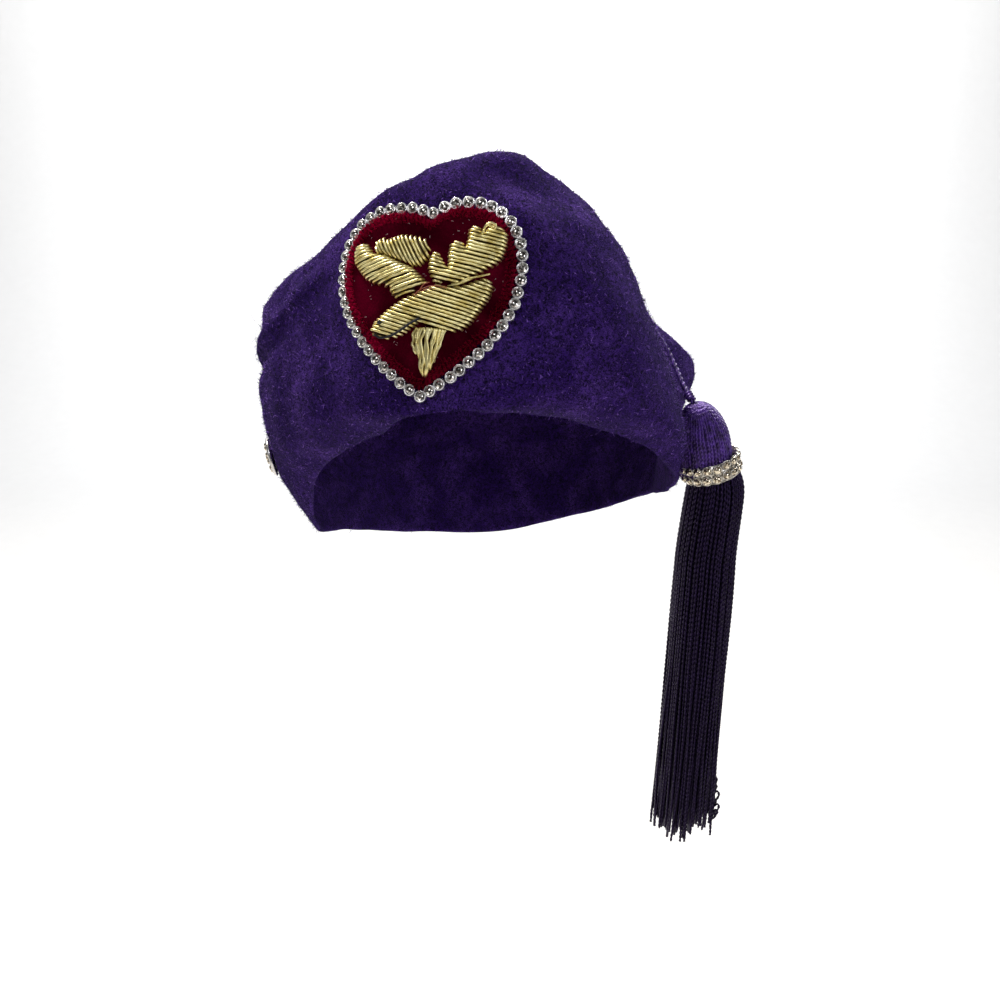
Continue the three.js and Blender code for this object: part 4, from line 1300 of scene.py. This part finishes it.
    def build(self) -> None:
        """Makes the pads, the tail, the loose wires, the eye and the threads."""
        rng = np.random.default_rng(21)
        # Painted shade: the padding is coloured dark brown so that the gaps between the wires read as shade.
        yellow = PlainDye("padding_felt_painted_shade", "#4a3410", "#2c1e08", 0.95, 0.6).make()
        for pad in PADS:
            angle = math.radians(pad.heading)
            way = SEAT.right * math.cos(angle) + SEAT.up * math.sin(angle)
            gold = BullionWire(f"gilt_bullion_{pad.node}", tuple(float(v) for v in way)).make()
            mesh = drawn(self.wires(pad, rng), Yarn(self.wire, 0, 8))
            piece = finished(f"{pad.node}_wires", mesh, Slot.GOLD, gold)
            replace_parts(piece, pad.node)
            finished(f"{pad.node}_padding", self.padding_mesh(pad), Slot.GOLD, yellow)
        gold = BullionWire("gilt_bullion_bird_tail", tuple(float(v) for v in SEAT.up)).make()
        tail = finished("bird_tail_wires", drawn(self.tail(rng), Yarn(1.0, 0, 8)), Slot.GOLD, gold)
        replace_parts(tail, "bird_tail")
        loose = [self.laid(line, 0.6) for line in (
            ((0.2, 0.075, 0.9), (0.26, 0.115, 1.7), (0.33, 0.135, 1.5), (0.4, 0.16, 0.8)),
            ((0.15, 0.07, 0.7), (0.22, 0.085, 1.2), (0.27, 0.11, 1.0)),
            ((0.17, 0.085, 0.5), (0.25, 0.1, 1.4), (0.31, 0.13, 1.5)),
            ((0.335, 0.4, 1.6), (0.35, 0.45, 2.9), (0.38, 0.468, 3.2), (0.41, 0.455, 2.9), (0.4, 0.43, 2.6)),
            ((0.325, 0.395, 1.6), (0.345, 0.44, 2.7), (0.37, 0.455, 3.1), (0.395, 0.44, 2.9)),
            ((-0.21, 0.03, 0.4), (-0.16, 0.045, 1.4), (-0.1, 0.07, 1.5)),
        )]
        finished("bird_loose_wires", drawn(loose, Yarn(0.7, 0, 8)), Slot.GOLD, gold)
        self.details()

    def details(self) -> None:
        """Makes the bead eye and the sewing threads."""
        jet = PlainDye("black_glass_bead", "#050506", "#0c0c10", 0.12, 2.0).make()
        thread = PlainDye("black_sewing_thread", "#08070c", "#15131c", 0.7, 0.4).make()
        copper = PlainDye("copper_silk_thread", "#a8502a", "#7d3820", 0.5, 0.4).make()
        bm = bmesh.new()
        bmesh.ops.create_icosphere(bm, subdivisions=2, radius=0.8 * MM)
        eye = SEAT.point(-0.258 * self.span, -0.178 * self.span, self.top + self.padding + 0.55) * MM
        bmesh.ops.translate(bm, verts=bm.verts, vec=tuple(eye))
        finished("bird_eye", mesh_of(bm), Slot.GOLD, jet)
        for name, material, size, lines in (
            ("bird_mouth_thread", thread, 0.8, [
                ((-0.005, -0.145, 2.4), (-0.06, -0.181, 2.7), (-0.122, -0.227, 2.6), (-0.185, -0.26, 2.3),
                 (-0.253, -0.27, 1.7), (-0.304, -0.25, 1.1)),
            ]),
            ("bird_sewing_threads", copper, 0.34, [
                ((-0.048, -0.005, 2.5), (-0.013, 0.033, 2.3), (0.048, 0.06, 2.1),
                 (0.097, 0.062, 2.2), (0.153, 0.052, 2.5)),
                ((0.0, 0.02, 2.8), (0.03, 0.035, 3.0), (0.06, 0.04, 2.8)),
                ((-0.013, 0.033, 2.4), (0.009, 0.071, 2.1), (0.04, 0.085, 1.8)),
            ]),
        ):
            paths = [self.laid(line, 0.5) for line in lines]
            finished(name, drawn(paths, Yarn(size, 0, 6)), Slot.GOLD, material)


@dataclass
class Cord:
    """The twisted two-ply cord from the crown's button to the tassel."""

    diameter: float = 2.2
    lay: float = 5.2
    route: tuple = (
        (9, 17.4, 122.6), (15.4, 15, 121.4), (21.6, 13, 119.9), (27, 11.4, 117.6), (32, 9.7, 114.4),
        (36.7, 8, 110.4), (41.6, 6.7, 105.9), (46.6, 6, 101), (52.4, 5.8, 95), (58.6, 6.3, 88.2),
        (64.6, 6.7, 82.5), (68.7, 7, 77), (71.1, 6.5, 73.6), (73.7, 4.5, 69.6), (75.6, 1.5, 65.8),
        (77.3, -3, 62), (78.7, -7.5, 58.4), (80.3, -11.5, 55.2), (81.9, -14.4, 52.8), (83, -15.9, 51),
    )

    def build(self, rayon: bpy.types.Material) -> bpy.types.Object:
        """Makes the cord's two plies."""
        line = smooth_line(np.array(self.route, float), 0.4)
        ahead = unit(np.gradient(line, axis=0))
        side = unit(np.cross(ahead, [0, 1, 0]))
        other = np.cross(ahead, side)
        twist = run_of(line) / self.lay * 2 * math.pi
        ply = self.diameter / 4
        paths = [line + ply * swung(side, other, twist + start) for start in (0, math.pi)]
        mesh = drawn(paths, Yarn(self.diameter / 2 * 1.04, 0, 10))
        return finished("twisted_cord", mesh, Slot.RAYON, rayon)

    def knot(self, rayon: bpy.types.Material) -> None:
        """Makes the wrapping that binds the cord's end above the tassel."""
        line = smooth_line(np.array(self.route, float), 0.2)[-27:-7]
        ahead = unit(np.gradient(line, axis=0))
        side = unit(np.cross(ahead, [0, 1, 0]))
        angle = np.linspace(0, 3.2 * 2 * math.pi, 60)
        spot = np.linspace(0, len(line) - 1, 60).astype(int)
        out = swung(side[spot], np.cross(ahead, side)[spot], angle)
        path = line[spot] + out * (self.diameter / 2 + 0.35)
        finished("cord_knot", drawn([path], Yarn(1.25, 0, 8)), Slot.RAYON, rayon)

    def declare(self, piece: bpy.types.Object) -> None:
        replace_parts(piece, "tassel_cord")


@dataclass(frozen=True)
class Ring:
    """One ring of the skirt's strands: its share of the skirt's radius, how many hang in it, and the
    distance between the points of each."""

    share: float
    count: int
    step: float


@dataclass
class Tassel:
    """The tassel: a head of laid strands, a neck band of rhinestones, and a long skirt."""

    neck: tuple = (92.5, -15.6, 22.8)
    head_shift: float = -2.3
    head_lean: float = 7.0
    top_shift: float = -2.2
    band_tilt: float = 15.0
    skirt_shift: float = 1.5
    head_radius: float = 11.6
    head_length: float = 28.4
    skirt_radius: float = 13.4
    skirt_length: float = 199.0
    strand: float = 1.5
    head_strands: int = 50
    rings: tuple = (
        Ring(1.0, 56, 0.85), Ring(0.87, 44, 1.6), Ring(0.72, 32, 6.0), Ring(0.55, 22, 6.0),
        Ring(0.36, 13, 6.0), Ring(0.15, 6, 6.0),
    )
    profile: tuple = (
        (0.08, 0.995), (0.2, 0.99), (0.36, 0.965), (0.5, 0.925), (0.64, 0.86), (0.76, 0.78), (0.86, 0.68),
        (0.94, 0.56), (0.985, 0.44), (1.0, 0.3), (1.0, 0.15), (0.95, 0.04), (0.88, -0.1),
    )
    stray: tuple = (
        (82.5, -19, -45), (81.2, -20, -75), (79.6, -20, -108), (78.8, -19.5, -142), (79.8, -18.5, -174),
    )

    def frame(self, aside: float, lean: float) -> tuple[np.ndarray, np.ndarray, np.ndarray, np.ndarray]:
        """Directions at the neck.

        Args:
            aside: Millimetres to the right of the neck's middle.
            lean: Degrees that the axis leans to the left.

        Returns:
            The place, the axis upwards, and two directions across it.
        """
        angle = math.radians(lean)
        axis = np.array([-math.sin(angle), 0, math.cos(angle)])
        front = np.array([0.0, -1.0, 0.0])
        return np.array(self.neck) + (aside, 0, 0), axis, np.cross(axis, front), front

    def head(self, rayon: bpy.types.Material) -> None:
        """Makes the head's core and the strands laid over it."""
        neck, axis, side, front = self.frame(self.head_shift, self.head_lean)
        shares = np.array(self.profile)
        rng = np.random.default_rng(8)

        def dome(angle: np.ndarray, radius: np.ndarray, height: np.ndarray) -> np.ndarray:
            out = swung(front, side, angle)
            bend = np.array([self.top_shift, 0, 0]) * np.clip(height, 0, 1)[:, None] ** 2
            return neck + bend + axis * (height * self.head_length)[:, None] + out * radius[:, None]

        paths = []
        for n in range(self.head_strands):
            angle = (n + rng.uniform(-0.15, 0.15)) / self.head_strands * 2 * math.pi
            swirl = angle + 0.4 * (1 - np.clip(shares[:, 0] * 1.6, 0, 1)) + rng.normal(0, 0.014, len(shares))
            radius = shares[:, 0] * (self.head_radius - 0.45) + rng.uniform(-0.15, 0.15)
            paths.append(smooth_line(dome(swirl, radius, shares[:, 1]), 0.5))
        mesh = drawn(paths, Yarn(1.55, 3.6, 8), 4)
        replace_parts(finished("tassel_head_strands", mesh, Slot.RAYON, rayon), "tassel")
        radii = np.concatenate([[0], shares[:, 0] * (self.head_radius - 0.7), [0]])
        heights = np.concatenate([[0.99], shares[:, 1] - 0.012, [-0.12]])

        def place(u: np.ndarray, v: np.ndarray) -> np.ndarray:
            ring = np.rint(v * (len(radii) - 1)).astype(int)
            return dome(u * 2 * math.pi, radii[ring], heights[ring])

        bm = mapped_grid(36, len(radii) - 1, place)
        finished("tassel_head_core", mesh_of(bm), Slot.RAYON, rayon)

    def path(self, share: float, angle: float, rng: np.random.Generator, step: float) -> np.ndarray:
        """One strand of the skirt, from the neck to its end.

        Args:
            share: How far out it hangs, as a share of the skirt's radius.
            angle: Where round the skirt.
            rng: Where the random numbers come from.
            step: The distance between its points.
        """
        neck, axis, side, front = self.frame(self.skirt_shift, self.band_tilt)
        out = side * math.sin(angle) + front * math.cos(angle)
        flat = np.array([math.sin(angle), -math.cos(angle), 0.0])
        start = neck + out * share * (self.head_radius - 2.0) + axis * 0.5
        long = self.skirt_length * (1 - 0.05 * rng.random() - 0.06 * (math.sin(angle) > 0.2) * rng.random())
        down = np.concatenate([[3.5, 7.5, 13, 20], np.linspace(30, long, 15)])
        belly = np.interp(down, [0, 4, 8, 14, 24, 60, 205], [0.72, 0.8, 0.88, 0.93, 0.95, 1.0, 1.09])
        bulge = np.interp(down, [0, 6, 14, 40], [0.6, 1.5, 1.5, 0])
        radius = self.skirt_radius * share * belly
        t = down / self.skirt_length
        sway = []
        for _ in range(2):
            reach = 0.5 * math.sqrt(share) * rng.normal()
            sway.append(reach * np.sin(t * math.pi * rng.uniform(1.5, 4) + rng.uniform(0, 6)) * t)
        splay = rng.normal(0, 1.3, 2) * t[:, None] ** 3
        points = neck + flat * radius[:, None]
        points[:, 0] += sway[0] + splay[:, 0] + bulge
        points[:, 1] += sway[1] + splay[:, 1]
        points[:, 2] = self.neck[2] - down
        if share == 1.0 and math.sin(angle) > 0.85:
            curl = np.array([(2.2, -0.6, 3.0), (3.4, -1.2, 7.5), (1.6, -1.8, 10.5), (-0.8, -1.2, 7.0)])
            points = np.vstack([points, points[-1] + curl * rng.uniform(0.5, 1.1)])
        return smooth_line(np.vstack([start + axis * 2, start, points]), step)

    def skirt(self, rayon: bpy.types.Material) -> None:
        """Makes the skirt's strands, ring by ring, and one that strays."""
        rng = np.random.default_rng(31)
        layers = []
        for ring in self.rings:
            layers.append([])
            for n in range(ring.count):
                angle = (n + rng.uniform(-0.25, 0.25)) / ring.count * 2 * math.pi
                layers[-1].append(self.path(ring.share, angle, rng, ring.step))
        outer, second = layers[:2]
        inner = [path for layer in layers[2:] for path in layer]
        outer.append(smooth_line(np.array(self.stray, float), 0.62))
        half = len(outer) // 2
        for name, paths, yarn, seed in (
            ("left", outer[:half], Yarn(self.strand, 5.0, 8), 1),
            ("right", outer[half:], Yarn(self.strand, 5.0, 8), 2),
            ("second", second, Yarn(self.strand, 5.6, 6), 3),
            ("inner", inner, Yarn(self.strand * 0.95, 0, 6), 0),
        ):
            finished(f"tassel_skirt_{name}", drawn(paths, yarn, seed), Slot.RAYON, rayon)

    def build(self, rayon: bpy.types.Material, bright: bpy.types.Material) -> None:
        """Makes the head, in a lighter copy of the skirt's yarn that paints the light falling on it from above,
        and the skirt.
        """
        self.head(bright)
        self.skirt(rayon)


@dataclass
class NeckBand:
    """Two rows of champagne rhinestones on a plated band round the tassel's neck."""

    per_row: int = 18
    pitch: float = 4.5
    stone_radius: float = 2.12
    inner: float = 11.9
    end_lift: float = 0.8

    def build(self, tassel: Tassel) -> None:
        """Makes the band, the cups with their claws, and the stones."""
        neck, axis, side, front = tassel.frame(0.0, tassel.band_tilt)
        silver = PlatedMetal("silver_plated_claw_chain", "#e4dfd6", "#a39a8c", 0.25, 0.6).make()
        stone = FoiledStone("foiled_champagne_crystal", "#f2e4c8", "#6e5a40").make()
        radius = self.inner
        rng = np.random.default_rng(14)
        spots = []
        for row in (-0.5, 0.5):
            for n in range(self.per_row):
                angle = (n + 0.2 * (row > 0)) / self.per_row * 2 * math.pi
                out = side * math.sin(angle) + front * math.cos(angle)
                lift = row * self.pitch + self.end_lift * (0.3 < angle < 2.0) + rng.normal(0, 0.12)
                spots.append((neck + axis * lift + out * radius, out))
        at, out = (np.array(v) for v in zip(*spots))
        out = unit(out + rng.normal(0, 0.06, out.shape))
        x = unit(np.cross(np.broadcast_to(axis, out.shape), out))
        places = places_of(at, x, np.cross(out, x), out)
        r = self.stone_radius
        cup = turned([(0, 0), (r * 0.8, 0), (r * 1.02, 0.4), (r * 1.02, 0.8), (r * 0.92, 0.86), (0, 0.7)], 14)
        bm = bmesh.new()
        for n in range(4):
            angle = math.pi / 4 + n * math.pi / 2
            matrix = Matrix.Rotation(angle, 4, "Z") @ Matrix.Translation((r * 0.95 * MM, 0, 0.95 * MM))
            bmesh.ops.create_cone(
                bm, cap_ends=True, segments=5, radius1=0.34 * MM, radius2=0.22 * MM, depth=1.3 * MM,
                matrix=matrix @ Matrix.Rotation(-0.3, 4, "Y"),
            )
        claws = mesh_of(bm)
        mesh = repeated([(cup, places), (claws, places)])
        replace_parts(finished("band_settings", mesh, Slot.BAND, silver), "tassel_band")
        gem = cut_stone(r * 0.93, 1.15, 0.62)
        finished("band_stones_cut", repeated([(gem, places)]), Slot.BAND, stone, smooth=False)

        def place(u: np.ndarray, v: np.ndarray) -> np.ndarray:
            table = np.array([(0, -1), (0.3, -1), (0.3, 1), (0, 1), (0, -1)]) * (1, self.pitch * 0.95)
            corner = table[np.rint(v * 4).astype(int)]
            way = swung(front, side, u * 2 * math.pi)
            return neck + axis * corner[:, 1:] + way * (radius - 0.1 + corner[:, :1])

        finished("band_backing", mesh_of(mapped_grid(48, 4, place)), Slot.BAND, silver)


@dataclass
class Brooch:
    """The round brooch on the left side: a plated rim, a ring of stones and one in the middle."""

    radius: float = 8.5
    around: float = -80.0
    up: float = 0.17
    stones: int = 11
    stone_radii: tuple = (1.55, 3.0)

    def build(self) -> None:
        """Makes the disc, the cups and the stones."""
        out = FORM.normal(self.around, self.up)[0]
        low, high = (np.array(corner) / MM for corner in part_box("side_brooch"))
        at = (low + high) / 2 - out * 1.1
        x = unit(np.cross([0, 0, 1], out))
        y = np.cross(out, x)
        silver = PlatedMetal("silver_plated_rim", "#e9e7e4", "#b9b4ac", 0.25).make()
        stone = FoiledStone("foiled_brooch_crystal", "#e3d2b0", "#7d684a").make()
        r = self.radius
        disc = turned(
            [(0, 0), (r * 0.9, 0), (r, 0.35), (r, 1.1), (r * 0.95, 1.55), (r * 0.88, 1.6),
             (r * 0.84, 1.2), (0, 1.0)], 48)
        one = places_of(at[None], x[None], y[None], out[None])
        ways = swung(x, y, np.arange(self.stones) / self.stones * 2 * math.pi)
        wide = np.broadcast_to(out, ways.shape)
        places = places_of(at + 0.66 * r * ways, ways, np.cross(wide, ways), wide)
        small, large = self.stone_radii
        cup = turned(
            [(0, 0.8), (small, 0.8), (small, 1.9), (small * 0.85, 2.05), (small * 0.75, 1.8), (0, 1.7)], 14)
        middle = turned(
            [(0, 0.8), (large, 0.8), (large, 2.1), (large * 0.88, 2.3), (large * 0.8, 2.0), (0, 1.9)], 20)
        rim = repeated([(disc, one), (cup, places), (middle, one)])
        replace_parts(finished("brooch_rim", rim, Slot.SETTINGS, silver), "side_brooch")
        ring_stone, middle_stone = cut_stone(small * 0.8, 0.9, 1.75), cut_stone(large * 0.82, 1.3, 1.95)
        gems = repeated([(ring_stone, places), (middle_stone, one)])
        finished("brooch_stones", gems, Slot.SETTINGS, stone, smooth=False)


@dataclass
class Button:
    """The button on the crown, bound with the cord's yarn."""

    radius: float = 6.5
    height: float = 4.5
    at: tuple = (1.95, 17.38, 121.29)
    out: tuple = (-0.033, 0.407, 0.913)
    strands: int = 30

    def build(self, rayon: bpy.types.Material) -> None:
        """Makes the button's core and the yarn wound over it."""
        out = unit(np.array(self.out))
        x = unit(np.cross([0, 1, 0], out))
        y = np.cross(out, x)
        r, h = self.radius, self.height
        core = turned(
            [(0, 0), (r - 0.6, 0), (r - 0.4, h * 0.3), (r * 0.8, h * 0.68), (r * 0.45, h * 0.86),
             (0, h * 0.9)], 32)
        one = places_of(np.array(self.at)[None], x[None], y[None], out[None])
        shares = np.array([(0.05, 0.93), (0.4, 0.88), (0.72, 0.7), (0.92, 0.4), (0.95, 0.1)])
        paths = []
        for n in range(self.strands):
            ring = swung(x, y, n / self.strands * 2 * math.pi + 0.5 * (1 - shares[:, 0]))
            points = np.array(self.at) + ring * (shares[:, :1] * r) + out * (shares[:, 1:] * h)
            paths.append(smooth_line(points, 0.5))
        wound = finished("button_yarn", drawn(paths, Yarn(1.3, 4.0, 8), 6), Slot.RAYON, rayon)
        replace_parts(wound, "crown_button")
        finished("button_core", repeated([(core, one)]), Slot.RAYON, rayon)


@dataclass
class Studio:
    """The camera at the photograph's angle, a pale floor and soft light."""

    distance: float = 0.43
    elevation: float = 22.0
    focal: float = 0.925
    sensor: float = 36.0
    floor: float = -0.6
    back: float = 1.6
    sweep: float = 1.6
    softness: float = 0.22

    def camera(self) -> None:
        """Places the camera."""
        data = bpy.data.cameras.new("camera")
        data.sensor_width = self.sensor
        data.lens = self.focal * self.sensor
        data.clip_start = 0.01
        camera = bpy.data.objects.new("camera", data)
        angle = math.radians(self.elevation)
        camera.location = (0, -self.distance * math.cos(angle), self.distance * math.sin(angle))
        camera.rotation_euler = (math.pi / 2 - angle, 0, 0)
        bpy.context.scene.collection.objects.link(camera)
        bpy.context.scene.camera = camera

    def light(
        self, name: str, at: tuple, size: float, power: float, colour: str, target: tuple = (0, 0, 0.04)
    ) -> None:
        """Hangs one soft round lamp.

        Args:
            name: Its name.
            at: Its place, in metres.
            size: Its width.
            power: In watts.
            colour: A hex colour.
            target: Where it points, which is the fez if nothing else is said.
        """
        data = bpy.data.lights.new(name, "AREA")
        data.shape = "DISK"
        data.size = size
        self.hang(data, at, Vector(target), power, colour)

    def hang(self, data: bpy.types.Light, at: tuple, target: Vector, power: float, colour: str) -> None:
        """Hangs a light and points it.

        Args:
            data: The light.
            at: Its place, in metres.
            target: Where it points.
            power: Its strength.
            colour: A hex colour.
        """
        data.energy = power
        data.color = linear(colour)[:3]
        lamp = bpy.data.objects.new(data.name, data)
        lamp.location = at
        lamp.rotation_euler = (target - Vector(at)).to_track_quat("-Z", "Y").to_euler()
        bpy.context.scene.collection.objects.link(lamp)

    def build(self) -> None:
        """Makes the floor, the lights and the world."""
        angle = np.linspace(0, math.pi / 2, 13)
        rise = [
            (self.back + self.sweep * math.sin(a), self.floor + self.sweep * (1 - math.cos(a)))
            for a in angle
        ]
        line = [(-3.0, self.floor), *rise, (self.back + self.sweep, 4.0)]
        bm = bmesh.new()
        verts = [bm.verts.new((-4.0, y, z)) for y, z in line]
        edges = [bm.edges.new(pair) for pair in zip(verts, verts[1:])]
        made = bmesh.ops.extrude_edge_only(bm, edges=edges)["geom"]
        side = [item for item in made if isinstance(item, bmesh.types.BMVert)]
        bmesh.ops.translate(bm, verts=side, vec=(8.0, 0, 0))
        bmesh.ops.recalc_face_normals(bm, faces=bm.faces)
        if bm.faces[:][0].normal.z < 0:
            bmesh.ops.reverse_faces(bm, faces=bm.faces)
        paper = PlainDye("white_studio_paper", "#cecece", "#cacaca", 0.95, 30.0).make()
        finished("studio_floor", mesh_of(bm), None, paper)
        window = bpy.data.lights.new("window", "SUN")
        window.angle = self.softness
        self.hang(window, (-0.42, 0.42, 0.85), Vector((0, 0, 0)), 4.6, "#fffaf2")
        paper_face = (0, self.back + 1.6, 0.7)
        self.light("backdrop_wash", (0, self.back, 1.9), self.back, 150.0, "#ffffff", paper_face)
        self.light("fill", (-0.3, -0.7, 0.8), 0.4, 2.2, "#f2f5ff")
        self.light("side_fill", (0.7, -0.75, 0.35), 0.5, 2.6, "#f2f5ff")
        self.light("back", (0.6, 0.6, 0.5), 0.3, 5.0, "#ffffff")
        world = bpy.data.worlds.new("studio")
        world.use_nodes = True
        world.node_tree.nodes.clear()
        glow = {"Color": linear("#f4f6fa"), "Strength": 0.16}
        sky = add_node(world.node_tree, "ShaderNodeBackground", glow)
        add_node(world.node_tree, "ShaderNodeOutputWorld", None, {"Surface": sky.outputs[0]})
        bpy.context.scene.world = world
        bpy.context.scene.view_settings.view_transform = "Standard"


def main() -> None:
    """Builds the fez piece by piece."""
    logging.basicConfig(level=logging.INFO, format="%(name)s: %(message)s")
    studio = Studio()
    studio.camera()
    rayon = RayonYarn("twisted_rayon_yarn").make()
    # A lighter copy of the same yarn for the tassel's head, the cord and its knot: painted highlight where
    # light falls on them from above.
    bright = RayonYarn("rayon_yarn_lit_copy", "#160a2b", "#563592", 1.0).make()
    cord = Cord()
    cord_piece = cord.build(bright)
    tassel = Tassel()
    tassel.build(rayon, bright)
    NeckBand().build(tassel)
    cord.declare(cord_piece)
    cord.knot(bright)
    Cap().build()
    HeartPatch().build()
    Bird().build()
    Brooch().build()
    Button().build(rayon)
    studio.build()
    bpy.context.view_layer.update()


if __name__ == "__main__":
    main()
